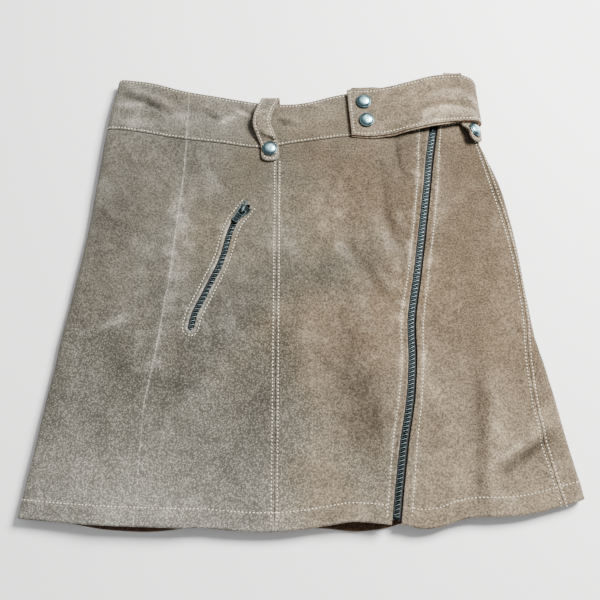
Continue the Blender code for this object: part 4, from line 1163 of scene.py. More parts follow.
def wall_faces(number, inner, slit=None):
    """Faces of a closed wall from the numbers of its outer and inner points, and the kind of each face.

    The kinds are 0 outside, 1 inside and 2 on the rim. slit is a column after which the wall is open
    where the numbers of that column and the next one differ, and one sheet where they are the same.
    """

    def quads(a, b, c, d):
        return np.stack([a, b, c, d], axis=-1).reshape(-1, 4)

    def sheet(n, turned):
        cells = np.stack([n[:-1, :-1], n[1:, :-1], n[1:, 1:], n[:-1, 1:]], axis=-1)
        if slit is not None:
            cells = np.delete(cells, slit, axis=1)
        cells = cells.reshape(-1, 4)
        return cells[:, ::-1] if turned else cells

    def strip(outer_line, inner_line):
        return quads(outer_line[:-1], outer_line[1:], inner_line[1:], inner_line[:-1])

    rims = [
        strip(number[0], inner[0]),
        strip(number[-1][::-1], inner[-1][::-1]),
        strip(number[::-1, 0], inner[::-1, 0]),
        strip(number[:, -1], inner[:, -1]),
    ]
    if slit is not None:
        open_rows = number[:, slit] != number[:, slit + 1]
        gaping = open_rows[:-1] | open_rows[1:]
        rims.append(strip(number[:, slit], inner[:, slit])[gaping])
        rims.append(strip(number[::-1, slit + 1], inner[::-1, slit + 1])[gaping[::-1]])
    outside, inside, rim = sheet(number, False), sheet(inner, True), np.concatenate(rims)
    kinds = np.repeat([0, 1, 2], [len(outside), len(inside), len(rim)])
    return np.concatenate([outside, inside, rim]), kinds


def add_wall(name, outer, inner, finishes, wear_and_shading, inside_finish=1, slit=None, closed_rows=None, sharp=None):
    """A closed wall between two grids. inside_finish is the finish's index, one or by inner point."""
    rows, columns = outer.shape[:2]
    number = np.arange(rows * columns).reshape(rows, columns)
    if slit is not None:
        number[closed_rows, slit + 1] = number[closed_rows, slit]
    faces, kinds = wall_faces(number, number + rows * columns, slit)
    points = np.concatenate([outer.reshape(-1, 3), inner.reshape(-1, 3)])
    worn_and_shaded = np.concatenate([wear_and_shading.reshape(-1), wear_and_shading.reshape(-1)])
    finish_index = np.where(kinds == 2, len(finishes) - 1, 0)
    by_point = np.broadcast_to(inside_finish, (rows, columns)).reshape(-1)
    inner_faces = kinds == 1
    finish_index[inner_faces] = by_point[faces[inner_faces][:, 0] - rows * columns]
    used, faces = np.unique(faces, return_inverse=True)
    faces = faces.reshape(-1, 4).tolist()
    return add_piece(name, points[used], faces, finishes, finish_index, worn_and_shaded[used], sharp)


def add_rings(name, rings, finish, wear_and_shading=None, sharp=None):
    """A piece of many small lofts at once, from an array of solids, rings and points round each ring."""
    solids, stations, size = rings.shape[:3]
    number = np.arange(solids * stations * size).reshape(solids, stations, size)
    following = np.roll(number, -1, axis=2)
    sides = np.stack([number[:, :-1], following[:, :-1], following[:, 1:], number[:, 1:]], axis=-1)
    caps = np.concatenate([number[:, 0, ::-1], number[:, -1]])
    faces = sides.reshape(-1, 4).tolist() + caps.tolist()
    worn_and_shaded = None if wear_and_shading is None else np.reshape(wear_and_shading, -1)
    return add_piece(name, rings.reshape(-1, 3), faces, [finish], wear_and_shading=worn_and_shaded, sharp=sharp)


def grid_lines(near, far, whole, step):
    """Shares and offsets of grid lines between two edges: at set distances from each, evenly between."""
    near, far = np.array(near), np.array(far)
    count = max(2, int(np.ceil((whole - near[-1] - far[-1]) / step)))
    share = np.arange(1, count) / count
    shares = np.concatenate([0 * near, share, 0 * far + 1])
    offsets = np.concatenate([near, near[-1] * (1 - share) - far[-1] * share, -far[::-1]])
    return shares, offsets


# Distances from an edge at which a piece has grid lines.
PLAIN_SEAM = (0.0, 0.12, 0.35, 0.7, 1.1, 1.7, 2.6)
DOUBLE_SEAM = (0.0, 0.12, 0.35, 0.7, 1.1, 1.6, 2.0, 2.4, 2.9, 3.8)
ZIP_SIDE = (0.0, 0.08, 0.25, 0.5, 0.9, 1.5, 2.4, 3.3, 4.1, 4.9, 5.7, 6.5, 7.4, 8.4, 9.6)
SLOT_SIDE = (0.0, 0.08, 0.25, 0.5, 0.9, 1.5, 2.3, 3.0, 3.6, 4.2, 5.2)
HEM_SIDE = (
    0.0, 0.15, 0.4, 0.8, 1.4, 2.4, 4.2, 6.2, 8.2, 10.2, 12.2,
    13.6, 14.2, 14.8, 15.4, 16.0, 16.6, 17.6,
)
WAIST_SIDE = (0.0, 0.12, 0.35, 0.8, 1.4, 2.0, 2.5, 3.0, 3.8)
BAND_FOOT = (0.0, 0.12, 0.35, 0.7, 1.1, 1.6, 2.1, 2.6, 3.4)
CUT_SIDE = (0.0, 0.1, 0.3, 0.7, 1.3, 2.0, 2.5, 3.0, 3.8)
PANEL_TOP = (0.0, 0.12, 0.35, 0.7, 1.1, 1.8, 2.8)


def chart(strips, rows, upper, lower):
    """Girths and heights of a grid on the garment.

    A strip is its left and right edge, as girths by height, and its columns' shares and offsets. Rows
    are shares of the way from the upper line to the lower one, and offsets down. A height depends on
    the place across, and that on the height, so both are found by a few rounds of substitution.
    """
    share_down, offset_down = rows[0][:, None], rows[1][:, None]
    count = sum(len(shares) for _, _, (shares, _) in strips)
    y = np.zeros((len(rows[0]), count))
    for _ in range(ROUNDS):
        girth, first = [], 0
        for left, right, (shares, offsets) in strips:
            here = y[:, first : first + len(shares)]
            girth.append(left(here) * (1 - shares) + right(here) * shares + offsets)
            first += len(shares)
        girth = np.concatenate(girth, axis=1)
        lap = GARMENT.lap_at(girth, y)
        across = share_at(lap, y)
        y = upper(across, lap) * (1 - share_down) + lower(across, lap) * share_down - offset_down
    return girth, y


def slot_half_width(y):
    """Half width of the pocket's slot, measured straight across: constant, with round ends."""
    slope = slope_of(pocket_x, y)
    middle, half = (SLOT_TOP_Y + SLOT_FOOT_Y) / 2, (SLOT_TOP_Y - SLOT_FOOT_Y) / 2
    into_end = np.clip((np.abs(y - middle) - half + SLOT_HALF_WIDTH) / SLOT_HALF_WIDTH, 0.0, 1.0)
    return SLOT_HALF_WIDTH * np.sqrt(1 + slope**2) * np.sqrt(1 - into_end**2)


# Edges of the strips of cloth round the tube: girth by height.
EDGES = {
    "under_seam_before": lambda y: under_seam_girth(y, -HALF_GAP),
    "left_seam_before": lambda y: seam_girth("left_seam", y, -HALF_GAP),
    "left_seam_after": lambda y: seam_girth("left_seam", y, HALF_GAP),
    "slot_before": lambda y: girth_at_x(pocket_x(y) - slot_half_width(y), y),
    "slot_after": lambda y: girth_at_x(pocket_x(y) + slot_half_width(y), y),
    "centre_before": lambda y: girth_at_x(CENTRE_SEAM_X - HALF_GAP, y),
    "centre_after": lambda y: girth_at_x(CENTRE_SEAM_X + HALF_GAP, y),
    "zip_before": lambda y: girth_at_x(zip_x(y) - ZIP_EDGE_LEFT, y),
    "zip_after": lambda y: girth_at_x(zip_x(y) + ZIP_EDGE_RIGHT, y),
    "side_seam_before": lambda y: seam_girth("side_seam", y, -HALF_GAP),
    "side_seam_after": lambda y: seam_girth("side_seam", y, HALF_GAP),
    "under_seam_after": lambda y: under_seam_girth(y, HALF_GAP) + GARMENT.whole_girth(y),
}

# Each piece round the tube: its strips between two edges, with the grid's distances beside each.
LEFT_SIDE = [("under_seam_before", DOUBLE_SEAM, "left_seam_before", PLAIN_SEAM)]
RIGHT_SIDE = [("zip_after", ZIP_SIDE, "side_seam_before", DOUBLE_SEAM)]
BACK = [("side_seam_after", DOUBLE_SEAM, "under_seam_after", DOUBLE_SEAM)]
PANELS = {
    "front_side_left": LEFT_SIDE,
    "front_centre_left": [
        ("left_seam_after", PLAIN_SEAM, "slot_before", SLOT_SIDE),
        ("slot_after", SLOT_SIDE, "centre_before", DOUBLE_SEAM),
    ],
    "front_centre_right": [("centre_after", DOUBLE_SEAM, "zip_before", ZIP_SIDE)],
    "front_side_right": RIGHT_SIDE,
    "back_panel": BACK,
}
BAND_PIECES = {
    "band_side_left": LEFT_SIDE,
    "band_front": [("left_seam_after", PLAIN_SEAM, "zip_before", ZIP_SIDE)],
    "band_side_right": RIGHT_SIDE,
    "band_back": BACK,
}

# Width and length that each piece is cut to flat, with its shaping but no turnings, what it lies on, and
# the height at which its width gives the spacing of its grid.
CUTS = {
    "front_side_left": ((135, 335), "back_panel", 0.0),
    "front_centre_left": ((95, 330), "back_panel", 0.0),
    "front_centre_right": ((125, 332), "back_panel", 0.0),
    "front_side_right": ((110, 336), "back_panel", -190.0),
    "back_panel": ((440, 345), "floor", 0.0),
    "band_side_left": ((95, 52), "band_back", 165.0),
    "band_front": ((220, 46), "band_back", 165.0),
    "band_side_right": ((36, 44), "band_back", 165.0),
    "band_back": ((330, 48), "floor", 165.0),
}


def strips_of(piece, at_y, step):
    """The piece's strips with their grid lines, for edges that are given by name."""
    made = []
    for left, near, right, far in piece:
        whole = float(EDGES[right](np.array(at_y)) - EDGES[left](np.array(at_y)))
        made.append((EDGES[left], EDGES[right], grid_lines(near, far, whole, step)))
    return made


def closer_rows_at_slot_ends(rows):
    """Adds rows where the pocket's slot has its round ends."""
    top_end = np.linspace(SLOT_TOP_Y + 0.8, SLOT_TOP_Y - SLOT_HALF_WIDTH - 0.6, 13)
    foot_end = np.linspace(SLOT_FOOT_Y + SLOT_HALF_WIDTH + 0.6, SLOT_FOOT_Y - 0.8, 13)
    extra = np.concatenate([top_end, foot_end])
    height = SLOT_PANEL_TOP_Y - SLOT_PANEL_FOOT_Y
    share = (SLOT_PANEL_TOP_Y - extra) / height
    order = np.argsort(np.concatenate([rows[0] + rows[1] / height, share]))
    return np.concatenate([rows[0], share])[order], np.concatenate([rows[1], 0 * extra])[order]


def add_cloth(pieces, sides, height, upper, lower):
    """The pieces between two lines round the tube, each a wall, on a wider grid at the back.

    Their inner side is the flesh side, or suede again in the band, which is folded double.
    """
    suede = settings().suede
    for name, piece in pieces.items():
        cut, under, at_y = CUTS[name]
        step = (suede.back_step if piece is BACK else suede.front_step) / MILLIMETRE
        rows, strips = grid_lines(*sides, height, step), strips_of(piece, at_y, step)
        slit = None
        if len(strips) == 2:
            rows, slit = closer_rows_at_slot_ends(rows), len(strips[0][2][0]) - 1
        girth, y = chart(strips, rows, upper, lower)
        closed_rows = None if slit is None else slot_half_width(y[:, slit]) <= 0
        outer, inner, _, wear_and_shading = dressed(girth, y)
        lap = GARMENT.lap_at(girth, y)
        inside = np.where(y > band_seam_line(share_at(lap, y), lap), 0, 1)
        finishes = ["suede", "suede_inside", "suede"]
        made = add_wall(name, outer, inner, finishes, wear_and_shading, inside, slit, closed_rows)
        belongs(made, "suede", name)


# ---------------------------------------------------------------- belt tab, loops and snaps


def tab_face(run, share, corner_shows=0.0, step=0.0):
    """Outer face of the belt tab at a run and a share of its width, its outward direction and its
    wear_and_shading of painted shade and painted highlight.

    The tab has its own unevenness and creases, which fade out towards its flat free end and are at most
    TAB_DEEPEST_CREASE deep. Its edges swell a little, and the topstitching lies in a trough.
    """
    slant = TAB_END_SLANT * (1 - smooth_step((run - TAB_FREE_END) / TAB_SLANT_FADE))
    run = run + slant * share
    shows = corner_shows * ramp(run, TAB_SHOWS_FROM) * (1 - ramp(run, TAB_SHOWS_TO))
    top, low = TAB_EDGES.read("top", run), TAB_EDGES.read("low", run)
    y = top + (low - top) * share + shows * (1 - share) ** 4
    y = y - step * (1 - ramp(run, TAB_STEP_TO)) * share**8
    point, outward = TAB.skin(TAB.lap_of_run(run, y), y)
    above = smooth_step(outward[..., 2])
    loose = ramp(run, TAB_LOOSE_FROM) * above
    height = settings().suede.rumple / MILLIMETRE
    random = height * (unevenness(point, cell=26.0, seed=11) + 0.45 * unevenness(point, cell=9.0, seed=12))
    creases = crease_relief(TAB_CREASES, point[..., 0], y) * above
    relief = loose * np.maximum(random + creases, -TAB_DEEPEST_CREASE)
    width = top - low
    edge = nearest(share * width, (1 - share) * width, run - slant * share - TAB_FREE_END)
    relief = relief - 0.3 * hump(edge - TAB_ROW, TROUGH_WIDTH) + 0.18 * hump(edge - 1.2, 0.8)
    around = np.where(share < 0.5, run, run + 400)
    relief = relief + 0.12 * pucker(around, edge - TAB_ROW, reach=4.0, seed=40) * smooth_step(edge / 1.5)
    for x0, y0 in (SNAP_TAB_UPPER, SNAP_TAB_LOWER):
        away = np.hypot(point[..., 0] - x0, y - y0)
        relief = relief - 0.25 * hump(away - SNAP_RADIUS - 0.4, 1.2) * above  # pressed in round the cap
    # painted shade in the crease troughs and painted highlight on their lips, and paler edges
    wear_and_shading = 0.5 * creases + 0.35 * np.exp(-np.maximum(edge, 0) / 0.8)
    wear_and_shading = wear_and_shading + 0.15 * unevenness(point, cell=7.0, seed=13)
    # paler overall, the patches, and painted shade in the stitched trough
    wear_and_shading = wear_and_shading + 0.22 + above * patch_shade(point[..., 0], y) - 0.35 * hump(edge - TAB_ROW, GROOVE_WIDTH)
    return point + outward * relief[..., None], outward, edge, wear_and_shading


def add_tab_layer(name, depth, corner_shows, step, inside):
    """One layer of the belt tab: columns along its run, rows across its width."""
    whole = TAB_SEWN_END - TAB_FREE_END
    shares, offsets = grid_lines(CUT_SIDE, (0.0, 0.4, 1.2), whole, step=1.3)
    run = TAB_FREE_END + shares * whole + offsets
    shares, offsets = grid_lines(CUT_SIDE, CUT_SIDE, TAB_WIDTH, step=1.5)
    run, share = np.broadcast_arrays(run[None, :], (shares + offsets / TAB_WIDTH)[:, None])
    face, outward, edge, wear_and_shading = tab_face(run, share, corner_shows, step)
    edge = np.maximum(edge, 0.0)
    drop = rounded(edge, CUT_ROUND)[..., None]
    outer = face - outward * (depth + drop)
    inner = face - outward * (depth + TAB_LAYER - drop)
    made = add_wall(name, outer, inner, ["suede", inside, "suede_cut_edge"], wear_and_shading, inside_finish=1, sharp=50)
    belongs(made, "suede", name)


def loop_face(table, along, aside_share):
    """Middle face of a belt loop on a grid along and across it.

    A line through the table's rows carries a strip, tilted and curled as they say, whose tip is round.
    Gives the face, its outward directions, each row's distance from the tip, and distances to the edge.
    """
    middle = together(*(table.read(name, along) for name in "xyz"))
    tilt = np.radians(table.read("tilt", along))
    step = np.linalg.norm(np.diff(middle, axis=0), axis=1)
    from_tip = np.append(np.cumsum(step[::-1])[::-1], 0.0)
    radius = LOOP_WIDTH / 2
    inside_end = np.clip(radius - from_tip, 0, 0.995 * radius)
    half_width = np.cbrt(radius**3 - inside_end**3)[:, None]
    aside = aside_share[None, :] * half_width
    forward = unit(np.gradient(middle, axis=0))
    lateral = together(np.cos(tilt), 0.0, -np.sin(tilt))
    lateral = unit(lateral - forward * np.sum(lateral * forward, axis=1, keepdims=True))
    outward = np.cross(forward, lateral)[:, None]
    sunk = (table.read("bend", along)[:, None] * aside**2)[..., None]
    face = middle[:, None] + aside[..., None] * lateral[:, None] - sunk * outward
    outward = np.broadcast_to(outward, face.shape)
    round_away = radius - np.cbrt(np.abs(aside) ** 3 + np.maximum(radius - from_tip, 0)[:, None] ** 3)
    return face, outward, from_tip, np.maximum(round_away, 0.0)


def loop_surface(table, along, aside_share):
    """Outer face of a belt loop with its creases, unevenness, stitched trough and wear_and_shading of painted
    shade and highlight.

    The unevenness fades out towards the tip, where the snap holds it flat.
    """
    face, outward, from_tip, edge = loop_face(table, along, aside_share)
    x, y = face[..., 0], face[..., 1]
    above = smooth_step(outward[..., 2])
    creases = crease_relief(LOOP_CREASES, x, y) * above
    random = 0.22 * unevenness(face, cell=11.0, seed=15) + 0.1 * unevenness(face, cell=4.5, seed=16)
    relief = creases + random * ramp(from_tip, (17, 24))[:, None]
    relief = relief - 0.25 * hump(edge - LOOP_ROW, TROUGH_WIDTH) + 0.12 * hump(edge - 1.1, 0.7)
    # painted shade in the crease troughs and painted highlight on their lips, paler edges, random tone and a
    # paler offset
    wear_and_shading = 0.5 * creases + 0.3 * np.exp(-edge / 0.8) + 0.15 * unevenness(face, cell=6.0, seed=17) + 0.34
    # painted shade in the stitched trough
    wear_and_shading = wear_and_shading - 0.3 * hump(edge - LOOP_ROW, GROOVE_WIDTH)
    return face + outward * (LOOP_THICKNESS / 2 + relief)[..., None], outward, from_tip, edge, wear_and_shading


def add_loop(name, table):
    count = len(table.rows) - 1
    tip = count - 1.2  # from here on the grid is finer, for the round end
    along = np.concatenate([np.arange(0, tip, 0.12), np.linspace(tip, count, 34)])
    share = np.sin(np.linspace(-1, 1, 29) * np.pi / 2)
    outer, outward, _, edge, wear_and_shading = loop_surface(table, along, share)
    drop = rounded(edge, CUT_ROUND)[..., None]
    inner = outer - outward * (LOOP_THICKNESS - drop)
    outer = outer - outward * drop
    made = add_wall(name, outer, inner, ["suede", "suede_inside", "suede"], wear_and_shading, inside_finish=1, sharp=60)
    belongs(made, "suede", name)


def loop_seat(table):
    """Middle of a loop's snap on its outer face, and the direction out of it."""
    along = np.linspace(0, len(table.rows) - 1, 3 * len(table.rows) - 2)
    face, outward, from_tip, _ = loop_face(table, along, np.linspace(-1, 1, 5))
    row = int(np.argmin(np.abs(from_tip - SNAP_FROM_TIP)))
    return face[row, 2] + outward[row, 2] * LOOP_THICKNESS / 2, outward[row, 2]


def tab_seat(x, y):
    """Seat of a snap on the tab, level with the highest point under the cap."""
    reach = np.linspace(-SNAP_RADIUS, SNAP_RADIUS, 9)
    return np.array([x, y, TAB.top(x + reach[:, None], y + reach[None, :]).max()]), UP


def add_snap(name, seat, outward):
    """A turned cap: the profile carried round its axis, which is the outward direction.

    Its dome has a painted highlight towards the middle and painted shade towards the rim.
    """
    first = unit(np.cross([0.0, 1.0, 0.0], outward))
    second = np.cross(outward, first)
    angle = np.linspace(0, 2 * np.pi, SNAP_SIDES, endpoint=False)[:, None]
    circle = SNAP_RADIUS * (np.cos(angle) * first + np.sin(angle) * second)
    steps = np.linspace(0, len(SNAP_PROFILE.rows) - 1, 2 * len(SNAP_PROFILE.rows) - 1)
    radius = SNAP_PROFILE.read("radius", steps)[:, None, None]
    height = SNAP_PROFILE.read("height", steps)[:, None, None] + SEAM_GAP
    rings = (seat + radius * circle + height * outward)[None]
    # painted highlight in the middle of the dome, fading to painted shade at the rim
    shine = np.repeat(smooth_step((0.93 - radius[:, 0, 0]) / 0.8), SNAP_SIDES)
    belongs(add_rings(name, rings, "snap_metal", wear_and_shading=shine), "snap_metal", name.removesuffix("_cap"))


# ---------------------------------------------------------------- zips


class ZipLine:
    """A zip's middle line up the garment's front."""

    def __init__(self, x_of_y):
        self.x_of_y = x_of_y

    def points(self, y, aside):
        """Points at a distance to the right of the line, on the cloth's outer face."""
        slope = slope_of(self.x_of_y, y)
        reach = np.hypot(1.0, slope)
        x, y = self.x_of_y(y) + aside / reach, y - aside * slope / reach
        return together(x, y, front_height(x, y))

    def directions(self, y):
        """Unit vectors up the line and to its right."""
        slope = slope_of(self.x_of_y, y)
        up = unit(together(slope, 1.0, 0.0))
        return up, together(up[..., 1], -up[..., 0], 0.0)


MAIN_ZIP = ZipLine(zip_x)
POCKET_ZIP = ZipLine(pocket_x)


def add_tapes(name, line, top_y, foot_y, half_width, chain_half_width):
    """Two woven tapes behind the suede, each with a round cord along the edge that holds the teeth."""
    y = np.linspace(top_y, foot_y, int((top_y - foot_y) / 2.5))[:, None]
    near = 0.45 * chain_half_width
    cord = near + np.array([0.0, 0.15, 0.5, 0.9, 1.2, 1.6])
    away = np.concatenate([cord, [chain_half_width + 1.5], np.linspace(chain_half_width + 3, half_width, 5)])
    bead = 0.45 * np.sqrt(np.clip(1 - ((away - near - 0.7) / 0.72) ** 2, 0, 1))
    for side, away, bead in (("left", -away[::-1], bead[::-1]), ("right", away, bead)):
        aside = away[None, :] + 0 * y
        face = line.points(y + 0 * aside, aside) - UP * (SUEDE + TAPE_GAP)
        outer = face + UP * bead[None, :, None]
        inner = face - UP * (TAPE_THICKNESS + bead[None, :, None])
        tape = f"{name}_tape_{side}"
        made = add_wall(tape, outer, inner, ["zip_tape"], 0 * aside, inside_finish=0)
        belongs(made, "zip_tape", tape)


def tooth_section():
    """Eight points round a tooth's section, as shares of its half length and half height."""
    angle = np.linspace(0, 2 * np.pi, 8, endpoint=False) + np.pi / 8
    round_part = together(np.cos(angle), np.sin(angle))
    return round_part / np.abs(round_part).max(axis=-1, keepdims=True) ** 0.6


def add_chain(name, node, line, top_y, foot_y, half_width, shift=0.0, painted_highlight=0.6):
    """The closed teeth: each a loft from its foot on the tape to its head past the middle line.

    A tooth is its section at each row of the tooth table, carried across the zip. Teeth come from the
    two sides in turn, one pitch apart. Their tops carry a painted highlight, those of one side more.
    """
    pitch = settings().zips.pitch / MILLIMETRE
    count = int((top_y - foot_y) / pitch)
    y = foot_y + (np.arange(count) + 0.5) * (top_y - foot_y) / count
    side = np.where(np.arange(count) % 2 == 0, 1.0, -1.0)
    middle = line.points(y, shift + 0 * y) - UP * (CHAIN_SUNK + CHAIN_HALF_THICKNESS)
    up, right = line.directions(y)
    thinner = min(1.0, 1.15 * half_width / CHAIN_HALF_WIDTH)
    reach = (TOOTH.column("reach") * half_width)[None, :, None, None]
    half_length = (TOOTH.column("half_length") * pitch)[None, :, None]
    half_height = (TOOTH.column("half_height") * thinner)[None, :, None]
    section = tooth_section()
    slanted = right + TOOTH_SLANT * up
    across = slanted[:, None, None, :] * (-side)[:, None, None, None] * reach
    lengthwise = (half_length * section[:, 0])[..., None] * up[:, None, None, :]
    upwards = (half_height * section[:, 1])[..., None] * UP
    rings = middle[:, None, None, :] + across + lengthwise + upwards
    rings[side > 0] = rings[side > 0][:, :, ::-1]
    # painted highlight on the teeth's tops, stronger on the teeth of one side
    shine = painted_highlight * smooth_step((rings[..., 2] - middle[:, None, None, 2] - 0.4) / 0.7)
    shine = shine * np.where(side > 0, 1.4, 0.5)[:, None, None]
    belongs(add_rings(name, rings, "zip_metal", wear_and_shading=shine, sharp=40), "zip_metal", node)


def add_stop(name, line, y, half_width, half_length):
    """A folded metal stop across the chain: a rounded block with sloping ends."""
    section = tooth_section()
    stations = np.array([-1.0, -0.92, -0.7, 0.0, 0.7, 0.92, 1.0])
    size = np.array([0.4, 0.8, 1.0, 1.0, 1.0, 0.8, 0.4])
    up, right = line.directions(np.array([y]))
    middle = line.points(np.array([y]), 0.0)[0] - UP * (CHAIN_SUNK + CHAIN_HALF_THICKNESS)
    across = (stations * half_width)[:, None, None] * right[0]
    lengthwise = (size[:, None] * section[:, 0] * half_length)[..., None] * up[0]
    upwards = (size[:, None] * section[:, 1] * 1.25)[..., None] * UP
    rings = (middle + across + lengthwise + upwards)[None]
    belongs(add_rings(name, rings, "zip_metal", sharp=40), "zip_metal")


class ZipPlace:
    """A place on a zip's line, and pieces of metal given there by along, aside and height.

    along is up the zip and aside to its right, both from the place. height is over the suede's face.
    """

    def __init__(self, line, y):
        up, right = line.directions(np.array([y]))
        x = line.x_of_y(y)
        self.origin = np.array([x, y, GARMENT.top(x, y)])
        self.axes = np.stack([up[0], right[0], UP])

    def world(self, places):
        return self.origin + np.asarray(places, float) @ self.axes

    def plate(self, name, plan, low, high, recess=0.0):
        """A plate between two heights, with rounded edges and a rim round a recess that has a painted
        highlight.

        The plan gives its half width along the zip. Grid lines lie closer together at the rim.
        """
        first, last = plan.rows[0, 0], plan.rows[-1, 0]
        near = np.array([0.0, 0.08, 0.2, 0.4, 0.75, 1.0, 1.3])
        middle = np.linspace(first + 1.8, last - 1.8, 7)
        along = np.concatenate([first + near, middle, last - near[::-1]])[:, None]
        share = np.array([-1, -0.975, -0.93, -0.87, -0.8, -0.72, -0.62, -0.4, 0.0])
        share = np.append(share, -share[-2::-1])[None, :]
        half = plan.read("half", along)
        edge = nearest((1 - np.abs(share)) * half, along - first, last - along)
        sunk = smooth_step((edge - 0.5) / 0.5)
        top = high - rounded(edge, 0.3) - recess * sunk
        outer = self.world(together(along, half * share, top))[::-1]
        inner = self.world(together(along, half * share, low + 0.5 * rounded(edge, 0.3)))[::-1]
        # painted highlight on the rim round the recess
        wear_and_shading = (0.28 * (1 - sunk) * smooth_step(edge / 0.15))[::-1]
        return add_wall(name, outer, inner, ["zip_metal"], wear_and_shading, inside_finish=0, sharp=60)

    def bars(self, name, bars):
        """Rods with a rounded section: each a path, its half width, its half height and its painted
        highlight, on its upper side.
        """
        section = tooth_section()
        rings, worn_and_shaded = [], []
        for path, half_width, half_height, wear_and_shading in bars:
            steps = np.linspace(0, len(path) - 1, BAR_RINGS)
            path = self.world(between(np.asarray(path, float), steps))
            forward = unit(np.gradient(path, axis=0))
            aside = unit(np.cross(UP, forward))
            upward = np.cross(forward, aside)
            size = np.ones(BAR_RINGS)
            size[[0, -1]] = 0.75
            flat = half_width * section[:, 0, None] * aside[:, None]
            flat = flat + half_height * section[:, 1, None] * upward[:, None]
            rings.append(path[:, None] + size[:, None, None] * flat)
            # painted highlight on each rod's upper side
            worn_and_shaded.append(np.tile(wear_and_shading * smooth_step(section[:, 1] + 0.6), (BAR_RINGS, 1)))
        return add_rings(name, np.stack(rings), "zip_metal", wear_and_shading=np.stack(worn_and_shaded), sharp=50)


def add_slider(name, line, y, plan, rise):
    """A slider: two plates on a core, the upper one recessed inside a rim, and an arch with a nose."""
    place = ZipPlace(line, y)
    upper = place.plate(name, plan, low=rise - 0.3, high=rise + 0.7, recess=0.45)
    belongs(upper, "zip_metal", name)
    belongs(place.plate(name + "_lower_plate", plan, low=-4.4, high=-3.4), "zip_metal")
    steps = np.linspace(0, len(ARCH.rows) - 1, BAR_RINGS)
    along = ARCH.read("along", steps)
    aside = -0.5 - 0.28 * along  # the strap slants to the left as it goes up
    arch = together(along, aside, ARCH.read("height", steps) + rise)
    core = [(-3.9, 0, -1.9), (3.9, 0, -1.9)]
    knob = [(7.4, -4.1, rise + 0.55), (7.4, -0.9, rise + 0.55)]
    # the last number of each bar is the strength of its painted highlight
    bars = [(arch, 1.15, 0.35, 0.26), (core, 1.4, 1.7, 0.2), (knob, 1.0, 0.5, 0.25)]
    belongs(place.bars(name + "_arch", bars), "zip_metal")


def add_pull(name, line, y, length, half_width, rise, body):
    """A pull down the zip: a frame of rods with a window, over a sunk floor with two bars across it."""
    place = ZipPlace(line, y)
    hinge = PULL_AXIS + rise
    side, foot = half_width - 0.45, 0.5 - length
    shoulder = side + 0.9  # half width at the hinge
    flare = 0.9 / foot
    plan = Table("along half", [(-length, side - 0.2), (1.2 - length, side), (-4.8, shoulder - 4.8 * flare)])
    floor = place.plate(name, plan, low=hinge - 0.5, high=hinge - 0.2)
    belongs(floor, "zip_metal", name, body=body)
    # the last number of each bar is the strength of its painted highlight
    bars = []
    for sign in (-1, 1):
        path = [(0.3, sign * shoulder, hinge), (foot, sign * side, hinge)]
        bars.append((path, 0.45, 0.5, 0.28))
    for along, thick in ((0.0, 0.5), (-5.1, 0.4), (-7.4, 0.3), (-9.6, 0.3), (foot, 0.5)):
        reach = shoulder - along * flare
        bars.append(([(along, -reach, hinge), (along, reach, hinge)], thick, 0.45, 0.3))
    belongs(place.bars(name + "_frame", bars), "zip_metal", body=body)


# ---------------------------------------------------------------- stitching


def stitches_along(points, outward, seed):
    """Rings of the stitches along a path: capsules that dip into the suede at both ends.

    Each stitch is a run of rings along the path, whose radius swells and whose height arches towards
    its middle. Seeded shifts and turns keep them from being all alike.
    """
    look = settings().stitches
    half, radius = look.stitch / MILLIMETRE / 2, look.thickness / MILLIMETRE / 2
    step = np.linalg.norm(np.diff(points, axis=0), axis=1)
    travelled = np.append(0.0, np.cumsum(step))
    count = max(1, int(travelled[-1] / (look.pitch / MILLIMETRE)))
    chance = np.random.default_rng(seed)
    pitch = travelled[-1] / count
    middle = (np.arange(count) + 0.5) * pitch + chance.normal(0, 0.06, count)
    station = np.array([-1.0, -0.72, 0.0, 0.72, 1.0])
    place = middle[:, None] + station * half * chance.uniform(0.9, 1.08, count)[:, None]
    steps = np.interp(place, travelled, np.arange(len(points)))
    at, out = between(points, steps), unit(between(outward, steps))
    forward = unit(at[:, -1:] - at[:, :1])
    beside = unit(np.cross(out, forward))
    shift = chance.normal(0, 0.05, count)[:, None] + station * chance.normal(0.12, 0.05, count)[:, None]
    at = at + beside * shift[..., None] + out * (radius * (0.55 - 0.75 * station**2))[:, None]
    thick = radius * np.array([0.35, 0.88, 1.0, 0.88, 0.35])[:, None, None]
    angle = np.linspace(0, 2 * np.pi, 6, endpoint=False)[:, None]
    ring = np.cos(angle) * beside[:, :, None] + np.sin(angle) * out[:, :, None]
    return at[:, :, None] + thick * ring


def add_stitches(name, paths):
    """One piece for the stitches along these paths, each a line of points and of outward directions."""
    rings = np.concatenate([stitches_along(*path, seed) for seed, path in enumerate(paths)])
    belongs(add_rings(name, rings, "thread"), "suede")


def garment_path(girth, y):
    outer, _, outward, _ = dressed(girth[None, :], y[None, :])
    return outer[0], outward[0]


def row_down(girth_of_y, top_y, foot_y):
    """A row of stitches up and down the garment."""
    y = np.linspace(top_y, foot_y, int(abs(top_y - foot_y) / 0.8) + 2)
    return garment_path(girth_of_y(y), y)


def row_round(left, right, line, shift):
    """A row of stitches round the garment beside a line, between two edges given at its height."""
    share = np.linspace(0, 1, 600)
    y = np.full(share.shape, float(line(np.array(0.5), np.array(0.5))))
    for _ in range(ROUNDS):
        girth = left(y) * (1 - share) + right(y) * share
        lap = GARMENT.lap_at(girth, y)
        y = line(share_at(lap, y), lap) + shift
    return garment_path(girth, y)


def beside_zip(side):
    """Girth of the row on one side of the slanted zip, by height."""
    name, sign = ("left", -1) if side < 0 else ("right", 1)
    return lambda y: girth_at_x(zip_x(y) + sign * ZIP_ROWS.read(name, y), y)


